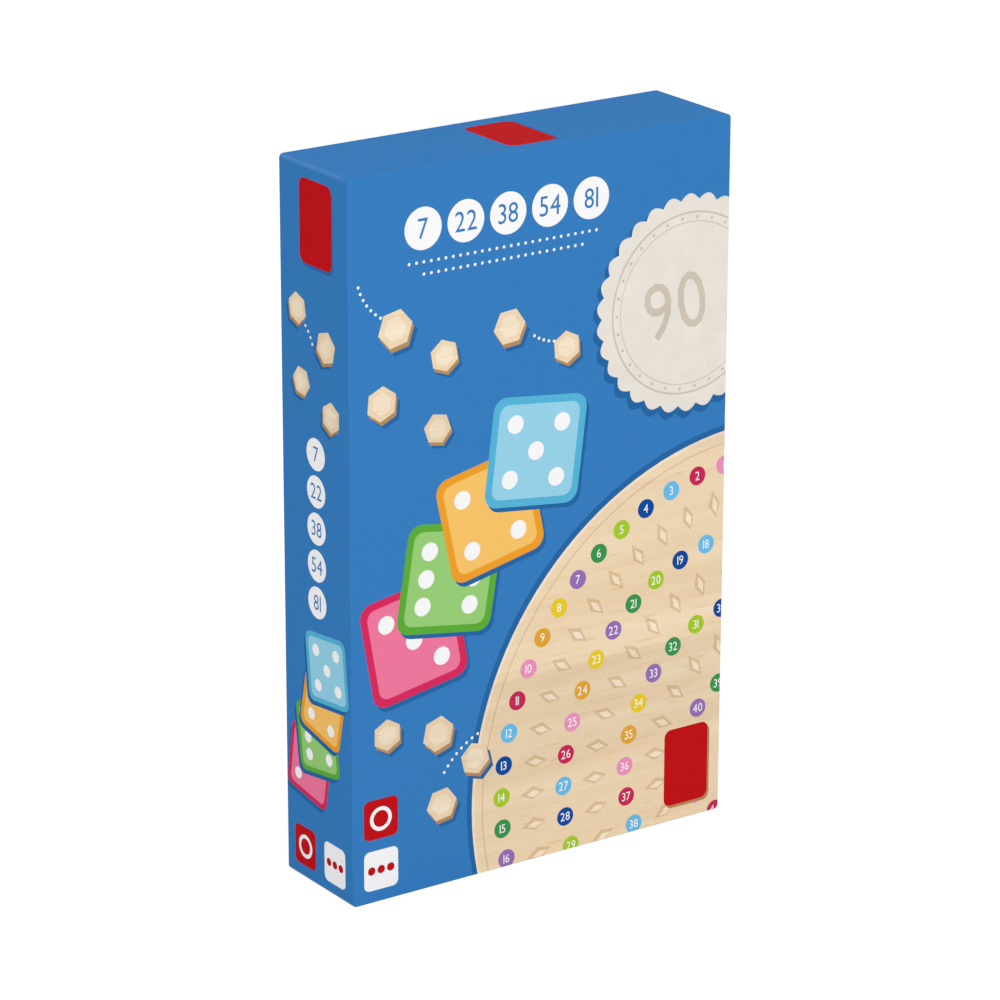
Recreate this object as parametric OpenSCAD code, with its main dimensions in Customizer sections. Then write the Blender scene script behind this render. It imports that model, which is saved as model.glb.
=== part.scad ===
// A boxed bingo game: a full-depth lid over a tray that holds a folding wooden board,
// cards, disc markers and a drawstring bag of numbered balls.
// The closed box stands on its bottom end. X runs across the front, Y from front to back
// and Z up. The origin is under the middle of the box. Lengths are in millimetres.

/* [Box] */
// Width of the closed box
box_w = 225; // [222:1:245]
// Height of the closed box as it stands
box_h = 370; // [360:1:400]
// Depth of the closed box, from front to back
box_d = 60; // [57:1:75]
// Thickness of the greyboard panels
greyboard = 2; // [1.6:0.1:2.4]
// Thickness of the printed wrapping paper
paper = 0.2; // [0.15:0.05:0.3]
// Width of the paper turned in at a rim
turn_in = 18; // [10:1:30]
// Thickness of the paper tape round a corner
tape_t = 0.1; // [0.08:0.01:0.15]
// Reach of the corner tape along each wall
tape_reach = 12; // [8:1:20]
// Gap between the lid and the tray on each side
lid_fit = 0.4; // [0.3:0.1:0.8]
// Gap between the tray's rim and the lid's front panel
rim_gap = 0.3; // [0.2:0.1:0.5]

/* [Insert] */
// Thickness of the insert's folded card
insert_t = 1; // [0.8:0.1:1.2]
// Height of each hollow cross beam of the insert
beam_h = 8; // [6:0.5:12]
// Room between the lid and what lies nearest to it
head_room = 1.4; // [1:0.1:3]

/* [Folding board] */
// Height of one leaf, square to the hinges
leaf_h = 165; // [150:1:170]
// Thickness of one leaf
leaf_t = 10; // [9:0.5:11]
// Gap between the faces of the closed leaves
leaf_gap = 0.6; // [0.4:0.1:1]
// Gap between the edges of the opened leaves
open_gap = 0.4; // [0.3:0.1:0.6]
// Play between the board and each side of the tray
board_play = 2.3; // [1.5:0.1:4]
// Radius of the board's outer corners
leaf_corner_r = 9; // [4:1:14]
// Radius of a leaf's corners beside the fold
fold_corner_r = 1.5; // [1:0.5:3]
// Columns of cups
cup_cols = 9; // [7:1:9]
// Rows of cups in one leaf
cup_rows = 5; // [4:1:5]
// Diameter of a cup at the board's face
cup_d = 14; // [12:0.5:15]
// Depth of a cup
cup_depth = 3.6; // [3:0.1:4]
// Distance from a leaf's side to its first column of cups
cup_side = 17; // [14:1:20]
// Plain strip along a leaf's two long edges
cup_strip = 5; // [3:1:7]
// Distance of a cup above the middle of its row
cup_raise = 6; // [4:0.5:7]

/* [Hinges] */
// Length of a hinge
hinge_len = 30; // [26:1:34]
// Number of knuckles in a hinge
knuckles = 4; // [4:2:6]
// Radius of a hinge's barrel
barrel_r = 1.9; // [1.7:0.1:2.2]
// Radius of the hinge pin
pin_r = 0.8; // [0.7:0.05:1]
// Thickness of a hinge plate
plate_t = 0.9; // [0.7:0.1:1.1]
// Reach of a hinge plate from the pin
plate_reach = 9; // [8:0.5:9.5]
// Radius of a wood screw's shank
screw_r = 0.9; // [0.8:0.05:1]
// Radius of a wood screw's countersunk head
screw_head_r = 1.7; // [1.5:0.05:1.8]
// Length of a wood screw
screw_len = 10; // [8:0.5:12]
// Distance from a hinge's end to its screw
screw_inset = 6; // [5:0.5:7]

/* [Cards] */
// Width of a bingo card
card_w = 160; // [150:1:175]
// Thickness of a bingo card
card_t = 2; // [1.6:0.1:2.1]
// Room left in front of the piles of cards
card_room = 6; // [5:0.5:6.5]
// Radius of a card's corners
card_corner_r = 3; // [2:0.5:6]
// Finger room at the end of the card wells
card_finger = 9; // [6:1:14]
// Play between the cards and the insert
card_play = 1; // [0.6:0.1:2]

/* [Markers and balls] */
// Diameter of a disc marker
disc_d = 15; // [14:0.5:16]
// Thickness of a disc marker
disc_t = 4; // [3:0.25:5]
// Diameter of a numbered ball
ball_d = 15; // [14:0.5:16]
// Length of a numbered ball
ball_h = 19; // [17:0.5:20]
// Radius of the flat that bears a ball's number
ball_flat_r = 3; // [2.5:0.25:4]

/* [Bag] */
// Thickness of the bag's cotton cloth, with its creases
cloth_t = 1; // [0.8:0.1:1.2]
// Room for the cloth's folds round the balls
bag_slack = 1.4; // [1:0.1:3]
// Rise from the top of the balls to the drawn neck
neck_rise = 26; // [22:1:32]
// Width of the drawn neck
neck_w = 24; // [20:1:30]
// Depth of the drawn neck, from front to back
neck_d = 17; // [14:1:22]
// Height of the frill above the neck
frill_h = 20; // [14:1:26]
// Diameter of the drawcord
cord_d = 2.6; // [2:0.2:3]

/* [Leaflet] */
// Width of the folded rules leaflet
leaflet_w = 105; // [100:1:140]
// Height of the folded rules leaflet
leaflet_h = 110; // [90:1:115]
// Thickness of one leaf of the folded leaflet
leaflet_t = 0.35; // [0.3:0.05:0.5]

/* [Hidden] */

// Colours, as the photograph shows them
print_blue = [0.2, 0.48, 0.74];
board_grey = [0.72, 0.69, 0.63];
inner_white = [0.93, 0.92, 0.9];
wood = [0.9, 0.8, 0.64];
steel = [0.72, 0.72, 0.72];
cotton = [0.93, 0.9, 0.83];

// Overrun of a cut past the face that it opens
over = 1;
// Gap at which a packed piece is seated on what carries it
seat = 0.3;
// Gap at the creases where a sheet of paper turns an edge
crease = 0.05;
// Gap between stacked cards, and between the discs of a roll
stack_gap = 0.15;
// Running clearance of a hinge pin, and of a screw in its hole
run_gap = 0.05;
// Gap between neighbouring knuckles, and round the barrel
knuckle_gap = 0.25;
// Smoothness of round parts
$fn = 48;

// One wall of the lid or tray, with paper on both faces
wall = greyboard + 2 * paper;

// Outside of the tray
tray_w = box_w - 2 * wall - 2 * lid_fit;
tray_h = box_h - 2 * wall - 2 * lid_fit;
tray_d = box_d - paper - greyboard - rim_gap;

// Clear space inside the tray
well_w = tray_w - 2 * wall;
well_h = tray_h - 2 * wall;
well_bottom = box_h / 2 - well_h / 2;
well_top = box_h / 2 + well_h / 2;
floor_y = box_d / 2 - paper - greyboard;
rim_y = box_d / 2 - tray_d;
well_d = floor_y - rim_y;

// The closed board, which lies on the ledges behind the lid
leaf_w = well_w - 2 * board_play;
board_d = 2 * leaf_t + leaf_gap;
ledge_d = well_d - head_room - board_d - seat;
ledge_y = floor_y - ledge_d;
axis_y = ledge_y - seat - leaf_t - leaf_gap / 2;
axis_z = well_bottom + seat + leaf_h + open_gap / 2;
cup_pitch_x = (leaf_w - 2 * cup_side) / (cup_cols - 1);
cup_pitch_z = (leaf_h - 2 * cup_strip) / cup_rows;
cup_r = (cup_d * cup_d / 4 + cup_depth * cup_depth) / (2 * cup_depth);

// The hinges sit midway between the second and the third columns of cups
hinge_x = leaf_w / 2 - cup_side - 1.5 * cup_pitch_x;
knuckle_len = hinge_len / knuckles;
plate_edge = open_gap / 2 - run_gap;
mortise_d = plate_t + run_gap;

// The cross beams and the trough for the discs
beam_z = axis_z + barrel_r + 2 * seat;
beam_front_y = rim_y + head_room;
disc_pitch = disc_d + seat;
trough_z = beam_z + beam_h;
trough_h = disc_d + 2 * seat;
upper_beam_z = trough_z + trough_h;
shelf_z = upper_beam_z + beam_h;
trough_floor_y = beam_front_y + 2 * disc_pitch + seat / 2;
discs_in_roll = floor((well_w - 2 * seat) / (disc_t + stack_gap));
roll_len = discs_in_roll * (disc_t + stack_gap) - stack_gap;

// The cards, in two piles between the ledges
card_h = (leaf_h - card_finger) / 2;
card_pitch = card_t + stack_gap;
cards_each = floor((ledge_d - seat - card_room) / (2 * card_pitch));

// The leaflet lies on the tray's floor, behind the bag
leaflet_d = 2 * leaflet_t + stack_gap;

// The balls lie in layers of staggered rows, with as many rows beside the middle one as the box
// has depth for: each entry is [balls in the middle row, in the rows beside it]
ball_layers = [[9, 8], [9, 8], [9, 8], [7, 4]];
ball_pitch = ball_d + seat;
ball_row = ball_pitch * sin(60);
ball_rise = ball_h + seat;
bag_room = floor_y - seat - leaflet_d - seat - beam_front_y;
side_rows = floor((bag_room - 2 * (cloth_t + bag_slack) - ball_d) / (2 * ball_row));
balls_w = ball_layers[0][0] * ball_pitch;
balls_d = ball_d + 2 * side_rows * ball_row;
balls_h = len(ball_layers) * ball_rise;
ball_steps = 7;

// The bag, and its sections from the base up: [height, width share, depth share, squareness]
bag_w = balls_w + 2 * (cloth_t + bag_slack);
bag_d = balls_d + 2 * (cloth_t + bag_slack);
bag_y = floor_y - seat - leaflet_d - seat - bag_d / 2;
bag_z = shelf_z + seat;
neck_z = cloth_t + balls_h + neck_rise;
bag_points = 40;
neck_w_share = neck_w / bag_w;
neck_d_share = neck_d / bag_d;
bag_section_shares = [
    [0, 0.86, 0.74, 4],
    [0.13 * ball_h, 0.965, 0.93, 5],
    [0.4 * ball_h, 1, 1, 5.5],
    [balls_h - 0.8 * ball_h, 1, 1, 5.5],
    [balls_h - 0.3 * ball_h, 0.94, 0.985, 4.5],
    [balls_h + cloth_t + bag_slack, 0.78, 0.86, 3.5],
    [balls_h + 0.45 * neck_rise, 0.48, 0.64, 2.6],
    [neck_z - 0.2 * neck_rise, 0.24, 0.45, 2],
    [neck_z, neck_w_share, neck_d_share, 2],
    [neck_z + 0.35 * frill_h, 0.24, 0.46, 2],
    [neck_z + 0.8 * frill_h, 0.33, 0.55, 2],
    [neck_z + frill_h, 0.34, 0.56, 2]
];

// The drawcord's route, from the middle of the bag's base: up over the right shoulder of the
// bag, round the neck and back beside itself. The first half is mirrored for the second.
cord_sides = 8;
cord_half = [
    [100, -9, 3], [94, -8, 1.6], [88, -7, 1.3], [82, -6.2, 1.8], [77, -5.6, 4.6],
    [74, -5.2, 9.5], [73.1, -5, 16], [73, -5, 26], [73, -5, 36], [73, -5, 46], [73, -5, 56],
    [72.4, -4.9, 64], [68.3, -4.8, 72.6], [62, -4.6, 77.2], [56, -4.4, 81.3],
    [49, -4.2, 84.4], [42, -4, 87.4], [35, -3.9, 90.4], [29, -4, 93.9], [23, -4.6, 97.4],
    [17.2, -6.4, 101.5], [9.3, -7.9, 104], [3.8, -9.9, 104], [-2.5, -10.1, 104],
    [-8.3, -8.4, 104], [-12.6, -5.2, 104]
];
cord_turn = [[-14.5, 0, 104]];
cord_back = [for (i = [len(cord_half) - 1:-1:0]) [cord_half[i].x, -cord_half[i].y, cord_half[i].z]];
cord_route = concat(cord_half, cord_turn, cord_back);
knot_r_share = 1.15;

// Two-dimensional shapes

module rounded_rect(w, h, low_r, high_r) {
    translate([-w / 2, low_r - h / 2])
        square([w, h - low_r - high_r]);
    translate([low_r - w / 2, -h / 2])
        square([w - 2 * low_r, low_r]);
    translate([high_r - w / 2, h / 2 - high_r])
        square([w - 2 * high_r, high_r]);
    for (side = [-1, 1]) {
        translate([side * (w / 2 - low_r), low_r - h / 2])
            circle(r = low_r);
        translate([side * (w / 2 - high_r), h / 2 - high_r])
            circle(r = high_r);
    }
}

// A flat piece that lies square to Y, from y to y + t, drawn in X and Z
module slab(y, t) {
    translate([0, y + t, 0])
        rotate([90, 0, 0])
            linear_extrude(t)
                children();
}

// The lid and the tray share one construction. Its panel's outer face lies at y = 0,
// its walls rise along +Y to the rim, and it is centred on X and Z.

module shell_outline(w, h) {
    rounded_rect(w, h, greyboard + paper, greyboard + paper);
}

module board_outline(w, h) {
    rounded_rect(w - 2 * paper, h - 2 * paper, greyboard, greyboard);
}

module board_inside(w, h) {
    square([w - 2 * paper - 2 * greyboard, h - 2 * paper - 2 * greyboard], center = true);
}

module tape_ring(w, h) {
    intersection() {
        difference() {
            board_outline(w, h);
            rounded_rect(w - 2 * paper - 2 * tape_t, h - 2 * paper - 2 * tape_t,
                greyboard - tape_t, greyboard - tape_t);
        }
        for (x = [-1, 1], z = [-1, 1])
            translate([x * (w / 2 - paper - tape_reach / 2), z * (h / 2 - paper - tape_reach / 2)])
                square([tape_reach, tape_reach], center = true);
    }
}

module shell_panel(w, h) {
    slab(paper, greyboard)
        board_outline(w, h);
}

module shell_side_walls(w, h, d) {
    slab(paper + greyboard, d - 2 * paper - greyboard)
        difference() {
            board_outline(w, h);
            square([w - 2 * paper - 2 * greyboard, h], center = true);
            tape_ring(w, h);
        }
}

module shell_end_walls(w, h, d) {
    slab(paper + greyboard, d - 2 * paper - greyboard)
        difference() {
            square([w - 2 * paper - 2 * greyboard, h - 2 * paper], center = true);
            board_inside(w, h);
            tape_ring(w, h);
        }
}

module shell_tapes(w, h, d) {
    slab(paper + greyboard, d - 2 * paper - greyboard)
        tape_ring(w, h);
}

// The paper of the four flaps: up the wall, over the rim and turned in behind it
module flap_paper(w, h, d) {
    slab(paper + crease, d - paper - crease)
        difference() {
            shell_outline(w, h);
            board_outline(w, h);
        }
    slab(d - paper, paper)
        difference() {
            shell_outline(w, h);
            square([w - 2 * wall, h - 2 * wall], center = true);
        }
    slab(d - turn_in, turn_in)
        difference() {
            board_inside(w, h);
            square([w - 2 * wall, h - 2 * wall], center = true);
        }
}

module shell_wrap(w, h, d) {
    slab(0, paper)
        shell_outline(w, h);
    for (side = [-1, 1])
        intersection() {
            flap_paper(w, h, d);
            translate([side * (w - wall) / 2, d / 2, 0])
                cube([wall, d + 2 * over, h + 2 * over], center = true);
        }
    intersection() {
        flap_paper(w, h, d);
        translate([0, d / 2, 0])
            cube([w - 2 * wall - 2 * crease, d + 2 * over, h + 2 * over], center = true);
    }
}

module place_lid() {
    translate([0, -box_d / 2, box_h / 2])
        children();
}

module place_tray() {
    translate([0, box_d / 2, box_h / 2])
        mirror([0, 1, 0])
            children();
}

module lid_front_panel() {
    color(board_grey)
        place_lid()
            shell_panel(box_w, box_h);
}

module lid_side_walls() {
    color(board_grey)
        place_lid()
            shell_side_walls(box_w, box_h, box_d);
}

module lid_end_walls() {
    color(board_grey)
        place_lid()
            shell_end_walls(box_w, box_h, box_d);
}

module lid_corner_tapes() {
    color(inner_white)
        place_lid()
            shell_tapes(box_w, box_h, box_d);
}

module lid_wrap() {
    color(print_blue)
        place_lid()
            shell_wrap(box_w, box_h, box_d);
}

module tray_back_panel() {
    color(board_grey)
        place_tray()
            shell_panel(tray_w, tray_h);
}

module tray_side_walls() {
    color(board_grey)
        place_tray()
            shell_side_walls(tray_w, tray_h, tray_d);
}

module tray_end_walls() {
    color(board_grey)
        place_tray()
            shell_end_walls(tray_w, tray_h, tray_d);
}

module tray_corner_tapes() {
    color(inner_white)
        place_tray()
            shell_tapes(tray_w, tray_h, tray_d);
}

module tray_wrap() {
    color(print_blue)
        place_tray()
            shell_wrap(tray_w, tray_h, tray_d);
}

// The insert: two folded channels beside the cards, whose faces carry the board
module insert_ledges() {
    ledge_w = (well_w - card_w) / 2 - card_play - seat;
    length = beam_z - well_bottom - 2 * seat;
    color(inner_white)
        for (side = [-1, 1])
            translate([side * (well_w / 2 - seat - ledge_w / 2), 0, well_bottom + seat])
                difference() {
                    translate([-ledge_w / 2, ledge_y, 0])
                        cube([ledge_w, ledge_d - seat, length]);
                    translate([insert_t - ledge_w / 2, ledge_y + insert_t, -over])
                        cube([ledge_w - 2 * insert_t, ledge_d, length + 2 * over]);
                }
}

// A hollow beam folded from card, drawn in Y and Z
module beam_section(z) {
    difference() {
        translate([beam_front_y, z])
            square([floor_y - seat - beam_front_y, beam_h]);
        translate([beam_front_y + insert_t, z + insert_t])
            square([floor_y - seat - beam_front_y - 2 * insert_t, beam_h - 2 * insert_t]);
    }
}

// A bar along X whose section is drawn in Y and Z
module bar(length) {
    translate([-length / 2, 0, 0])
        rotate([90, 0, 90])
            linear_extrude(length)
                children();
}

// Two beams with a raised floor between them, which holds the rolls of discs
module insert_trough() {
    color(inner_white)
        bar(well_w - 2 * seat) {
            beam_section(beam_z);
            beam_section(upper_beam_z);
            translate([trough_floor_y, trough_z - insert_t])
                square([insert_t, trough_h + 2 * insert_t]);
        }
}

// One colour of cards: pile 0 stands on the tray's end wall and pile 1 on pile 0
module card_pack(pile, first) {
    for (i = [first:first + cards_each - 1])
        translate([0, 0, well_bottom + seat + card_h / 2 + pile * (card_h + seat)])
            slab(floor_y - seat - card_t - i * card_pitch, card_t)
                rounded_rect(card_w, card_h, card_corner_r, card_corner_r);
}

module cards_blue() {
    color([0.36, 0.71, 0.83])
        card_pack(0, cards_each);
}

module cards_orange() {
    color([0.91, 0.65, 0.25])
        card_pack(0, 0);
}

module cards_green() {
    color([0.42, 0.7, 0.33])
        card_pack(1, cards_each);
}

module cards_pink() {
    color([0.82, 0.28, 0.45])
        card_pack(1, 0);
}

// A sheet folded once, which stands on the upper beam behind the bag
module rules_leaflet() {
    color("white")
        translate([0, floor_y - seat - leaflet_d / 2, shelf_z + seat])
            linear_extrude(leaflet_h) {
                for (side = [-1, 1])
                    translate([leaflet_d / 2 - leaflet_w / 2, side * (leaflet_d - leaflet_t) / 2 - leaflet_t / 2])
                        square([leaflet_w - leaflet_d / 2, leaflet_t]);
                translate([leaflet_d / 2 - leaflet_w / 2, 0])
                    difference() {
                        circle(d = leaflet_d);
                        circle(d = stack_gap);
                        translate([0, -leaflet_d])
                            square([leaflet_d, 2 * leaflet_d]);
                    }
            }
}

// The board's pieces are drawn opened flat, about the hinges' axis, with the faces towards -Y.
// side is -1 for the back leaf, below the axis, and 1 for the front leaf, above it.

module place_board() {
    translate([0, axis_y, axis_z])
        children();
}

// The front leaf folded down in front of the back leaf
module fold_shut() {
    rotate([180, 0, 0])
        children();
}

module at_hinges() {
    for (x = [-hinge_x, hinge_x])
        translate([x, 0, 0])
            children();
}

module along_axis(r, length) {
    translate([-length / 2, 0, 0])
        rotate([0, 90, 0])
            cylinder(r = r, h = length);
}

module at_screws(side) {
    for (x = [-1, 1])
        translate([x * (hinge_len / 2 - screw_inset), leaf_gap / 2 + leaf_t / 2, side * plate_edge])
            rotate([side < 0 ? 180 : 0, 0, 0])
                children();
}

module leaf(side) {
    middle = side * (open_gap / 2 + leaf_h / 2);
    low_r = side < 0 ? leaf_corner_r : fold_corner_r;
    high_r = side < 0 ? fold_corner_r : leaf_corner_r;
    mortise_x = hinge_len + 2 * knuckle_gap;
    mortise_y = plate_reach + 2 * run_gap;
    mortise_z = plate_edge + mortise_d;
    difference() {
        translate([0, 0, middle])
            slab(leaf_gap / 2, leaf_t)
                rounded_rect(leaf_w, leaf_h, low_r, high_r);
        for (column = [0:cup_cols - 1], row = [0:cup_rows - 1])
            translate([
                cup_side + column * cup_pitch_x - leaf_w / 2,
                leaf_gap / 2 + cup_depth - cup_r,
                middle - leaf_h / 2 + cup_strip + (row + 0.5) * cup_pitch_z + cup_raise
            ])
                sphere(r = cup_r);
        at_hinges() {
            along_axis(barrel_r + knuckle_gap, mortise_x);
            translate([-mortise_x / 2, 0, side < 0 ? -mortise_z : 0])
                cube([mortise_x, mortise_y, mortise_z]);
            at_screws(side)
                cylinder(r = screw_r + run_gap, h = screw_len + seat);
        }
    }
}

module board_back_leaf() {
    color(wood)
        place_board()
            leaf(-1);
}

module board_front_leaf() {
    color(wood)
        place_board()
            fold_shut()
                leaf(1);
}

// A plate with every second knuckle, starting from the knuckle numbered first
module hinge_half(side, first) {
    difference() {
        union() {
            translate([-hinge_len / 2, barrel_r + knuckle_gap, side < 0 ? -plate_edge - plate_t : plate_edge])
                cube([hinge_len, plate_reach - barrel_r - knuckle_gap, plate_t]);
            for (k = [first:2:knuckles - 1])
                translate([(k + 0.5) * knuckle_len - hinge_len / 2, 0, 0]) {
                    along_axis(barrel_r, knuckle_len - knuckle_gap);
                    translate([(knuckle_gap - knuckle_len) / 2, 0, side < 0 ? -plate_edge - plate_t : plate_edge])
                        cube([knuckle_len - knuckle_gap, plate_reach, plate_t]);
                }
        }
        along_axis(pin_r + run_gap, hinge_len + 2 * over);
        at_screws(side) {
            translate([0, 0, -over])
                cylinder(r = screw_r + run_gap, h = plate_t + 2 * over);
            translate([0, 0, -run_gap])
                cylinder(r1 = screw_head_r + 2 * run_gap, r2 = screw_r + run_gap, h = screw_head_r - screw_r + run_gap);
        }
    }
}

module hinge_back_plates() {
    color(steel)
        place_board()
            at_hinges()
                hinge_half(-1, 0);
}

module hinge_front_plates() {
    color(steel)
        place_board()
            fold_shut()
                at_hinges()
                    hinge_half(1, 1);
}

module hinge_pins() {
    color(steel)
        place_board()
            at_hinges()
                along_axis(pin_r, hinge_len - knuckle_gap);
}

// A countersunk screw with a slot, its head at z = 0 and its tip along +Z
module wood_screw() {
    head_h = screw_head_r - screw_r;
    difference() {
        union() {
            cylinder(r1 = screw_head_r, r2 = screw_r, h = head_h);
            translate([0, 0, head_h])
                cylinder(r = screw_r, h = screw_len - head_h - 2 * screw_r);
            translate([0, 0, screw_len - 2 * screw_r])
                cylinder(r1 = screw_r, r2 = screw_r / 4, h = 2 * screw_r);
        }
        translate([-screw_head_r, -screw_r / 4, -over])
            cube([2 * screw_head_r, screw_r / 2, over + head_h / 2]);
    }
}

module back_hinge_screws() {
    color(steel)
        place_board()
            at_hinges()
                at_screws(-1)
                    wood_screw();
}

module front_hinge_screws() {
    color(steel)
        place_board()
            fold_shut()
                at_hinges()
                    at_screws(1)
                        wood_screw();
}

// Two rolls of discs that lie side by side in the trough
module marker_discs() {
    color(wood)
        for (roll = [0:1], i = [0:discs_in_roll - 1])
            translate([
                disc_t / 2 - roll_len / 2 + i * (disc_t + stack_gap),
                beam_front_y + (roll + 0.5) * disc_pitch,
                trough_z + seat + disc_d / 2
            ])
                along_axis(disc_d / 2, disc_t);
}

// One closed section of the bag, drawn in by inset
function bag_ring(section, height, inset) =
    [for (i = [0:bag_points - 1])
        let (
            angle = 360 * i / bag_points,
            power = 2 / section[3],
            x = sign(cos(angle)) * pow(abs(cos(angle)), power),
            y = sign(sin(angle)) * pow(abs(sin(angle)), power)
        )
        [x * (section[1] * bag_w / 2 - inset), y * (section[2] * bag_d / 2 - inset), height]
    ];

// A solid skin over rings of points, closed at the first ring and at the last
module loft(rings) {
    count = len(rings[0]);
    last = len(rings) - 1;
    points = [for (ring = rings) for (point = ring) point];
    sides = [
        for (k = [0:last - 1], i = [0:count - 1])
            let (a = k * count + i, b = k * count + (i + 1) % count)
            each [[a, a + count, b + count], [a, b + count, b]]
    ];
    first_cap = [for (i = [0:count - 1]) i];
    last_cap = [for (i = [count - 1:-1:0]) last * count + i];
    polyhedron(points, concat([first_cap], sides, [last_cap]));
}

// The skin runs up the outside of the bag, over the frill and down the inside
module bag() {
    outside = [for (section = bag_section_shares) bag_ring(section, section[0], 0)];
    inside = [
        for (i = [len(bag_section_shares) - 1:-1:0])
            let (section = bag_section_shares[i])
            bag_ring(section, max(section[0], cloth_t), cloth_t)
    ];
    color(cotton)
        translate([0, bag_y, bag_z])
            loft(concat(outside, inside));
}

function unit(v) = v / norm(v);

// The directions of a route at its points, and a normal at each that turns as little as it can
function route_tangents(route) =
    [for (i = [0:len(route) - 1])
        unit(route[min(i + 1, len(route) - 1)] - route[max(i - 1, 0)])
    ];

function route_normals(tangents) =
    [for (
        i = 0, n = unit(cross(tangents[0], [0, 0, 1]));
        i < len(tangents);
        i = i + 1, n = i < len(tangents) ? unit(n - (n * tangents[i]) * tangents[i]) : n
    ) n];

module tube(route, r, count) {
    tangents = route_tangents(route);
    normals = route_normals(tangents);
    loft([
        for (i = [0:len(route) - 1])
            let (side = cross(tangents[i], normals[i]))
            [for (j = [0:count - 1]) route[i] + r * (cos(360 * j / count) * normals[i] + sin(360 * j / count) * side)]
    ]);
}

module bag_cord() {
    color(cotton)
        translate([0, bag_y, bag_z]) {
            tube(cord_route, cord_d / 2, cord_sides);
            for (end = [cord_route[0], cord_route[len(cord_route) - 1]])
                translate(end)
                    sphere(r = knot_r_share * cord_d);
        }
}

// A ball is a little longer than it is wide, with a flat for its number
module numbered_ball() {
    flat_angle = acos(ball_flat_r / (ball_d / 2));
    rise = ball_h / (1 + sin(flat_angle));
    rotate_extrude()
        polygon(concat(
            [for (k = [0:ball_steps])
                let (angle = (90 + flat_angle) * k / ball_steps - 90)
                [ball_d / 2 * cos(angle), rise * (1 + sin(angle))]
            ],
            [[0, ball_h]]
        ));
}

module number_balls() {
    color(wood)
        translate([0, bag_y, bag_z + cloth_t + seat])
            for (layer = [0:len(ball_layers) - 1], row = [-side_rows:side_rows]) {
                count = ball_layers[layer][abs(row) % 2];
                for (i = [0:count - 1])
                    translate([(i - (count - 1) / 2) * ball_pitch, row * ball_row, layer * ball_rise])
                        numbered_ball();
            }
}

lid_front_panel();
lid_side_walls();
lid_end_walls();
lid_corner_tapes();
lid_wrap();
tray_back_panel();
tray_side_walls();
tray_end_walls();
tray_corner_tapes();
tray_wrap();
insert_ledges();
insert_trough();
cards_blue();
cards_orange();
cards_green();
cards_pink();
rules_leaflet();
board_back_leaf();
board_front_leaf();
hinge_back_plates();
hinge_front_plates();
hinge_pins();
back_hinge_screws();
front_hinge_screws();
marker_discs();
bag();
bag_cord();
number_balls();
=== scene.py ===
"""The looks of a boxed bingo game: its printed wrap, its board, cards, discs, bag, cord and balls."""

import math
import random

import bmesh
import bpy
from mathutils import Matrix, Vector, noise
from mathutils.geometry import delaunay_2d_cdt


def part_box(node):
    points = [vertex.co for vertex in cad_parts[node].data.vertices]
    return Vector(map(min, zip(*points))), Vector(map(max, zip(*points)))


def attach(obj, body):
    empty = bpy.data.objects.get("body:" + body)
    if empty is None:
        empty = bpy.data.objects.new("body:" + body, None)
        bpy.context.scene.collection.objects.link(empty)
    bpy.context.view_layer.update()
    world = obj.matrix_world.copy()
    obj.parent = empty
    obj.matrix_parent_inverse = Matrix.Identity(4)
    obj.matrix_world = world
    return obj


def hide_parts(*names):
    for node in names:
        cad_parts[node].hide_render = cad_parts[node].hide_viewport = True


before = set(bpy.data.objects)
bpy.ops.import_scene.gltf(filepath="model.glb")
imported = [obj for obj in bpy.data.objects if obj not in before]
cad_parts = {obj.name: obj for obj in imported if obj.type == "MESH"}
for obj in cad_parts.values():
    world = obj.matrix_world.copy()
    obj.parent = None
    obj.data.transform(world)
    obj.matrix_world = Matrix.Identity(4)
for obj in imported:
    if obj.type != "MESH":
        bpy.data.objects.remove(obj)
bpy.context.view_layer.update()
MM = 0.001
UP = Vector((0, 0, 1))
ACROSS = Vector((1, 0, 0))

# Sizes read from the frame, in millimetres


def node_box(node):
    low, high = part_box(node)
    return low / MM, high / MM


LID_LOW, LID_HIGH = node_box("lid_wrap")
TRAY_LOW, TRAY_HIGH = node_box("tray_wrap")
PANEL_LOW, PANEL_HIGH = node_box("lid_front_panel")
BOX_W = LID_HIGH.x - LID_LOW.x
BOX_H = LID_HIGH.z - LID_LOW.z
MIDDLE_Z = (LID_LOW.z + LID_HIGH.z) / 2
PAPER = PANEL_LOW.y - LID_LOW.y
GREYBOARD = PANEL_HIGH.y - PANEL_LOW.y
WALL = GREYBOARD + 2 * PAPER

# Colours as sRGB, 0 to 255: the inks, those of each card, and the bare materials

INKS = {
    "blue": (55, 124, 189),
    "blue_shade": (40, 102, 162),
    "white": (246, 246, 246),
    "red": (192, 20, 26),
    "cream": (232, 226, 216),
    "cream_shade": (206, 195, 178),
    "wood": (240, 219, 187),
    "wood_shade": (223, 195, 156),
    "wood_light": (247, 232, 208),
    "wood_dark": (178, 138, 92),
    "yellow": (232, 200, 38),
    "gold": (224, 164, 52),
    "pink": (232, 146, 188),
    "crimson": (198, 42, 84),
    "sky": (104, 186, 232),
    "navy": (18, 74, 156),
    "lime": (164, 200, 46),
    "leaf": (58, 148, 78),
    "lilac": (150, 110, 180),
    "brown": (104, 66, 42),
    "bar": (150, 152, 156),
}
CARD_INK_KINDS = ("", "_pale", "_mid", "_deep")
CARD_INKS = {
    "blue": ((86, 178, 214), (150, 208, 230), (136, 201, 226), (42, 132, 176)),
    "orange": ((236, 158, 44), (246, 194, 104), (244, 185, 88), (206, 122, 20)),
    "green": ((92, 170, 58), (150, 204, 118), (138, 196, 104), (54, 130, 36)),
    "pink": ((214, 44, 92), (236, 120, 156), (231, 104, 142), (180, 22, 66)),
}
for colour, shades in CARD_INKS.items():
    INKS.update({"card_" + colour + kind: rgb for kind, rgb in zip(CARD_INK_KINDS, shades)})
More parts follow.
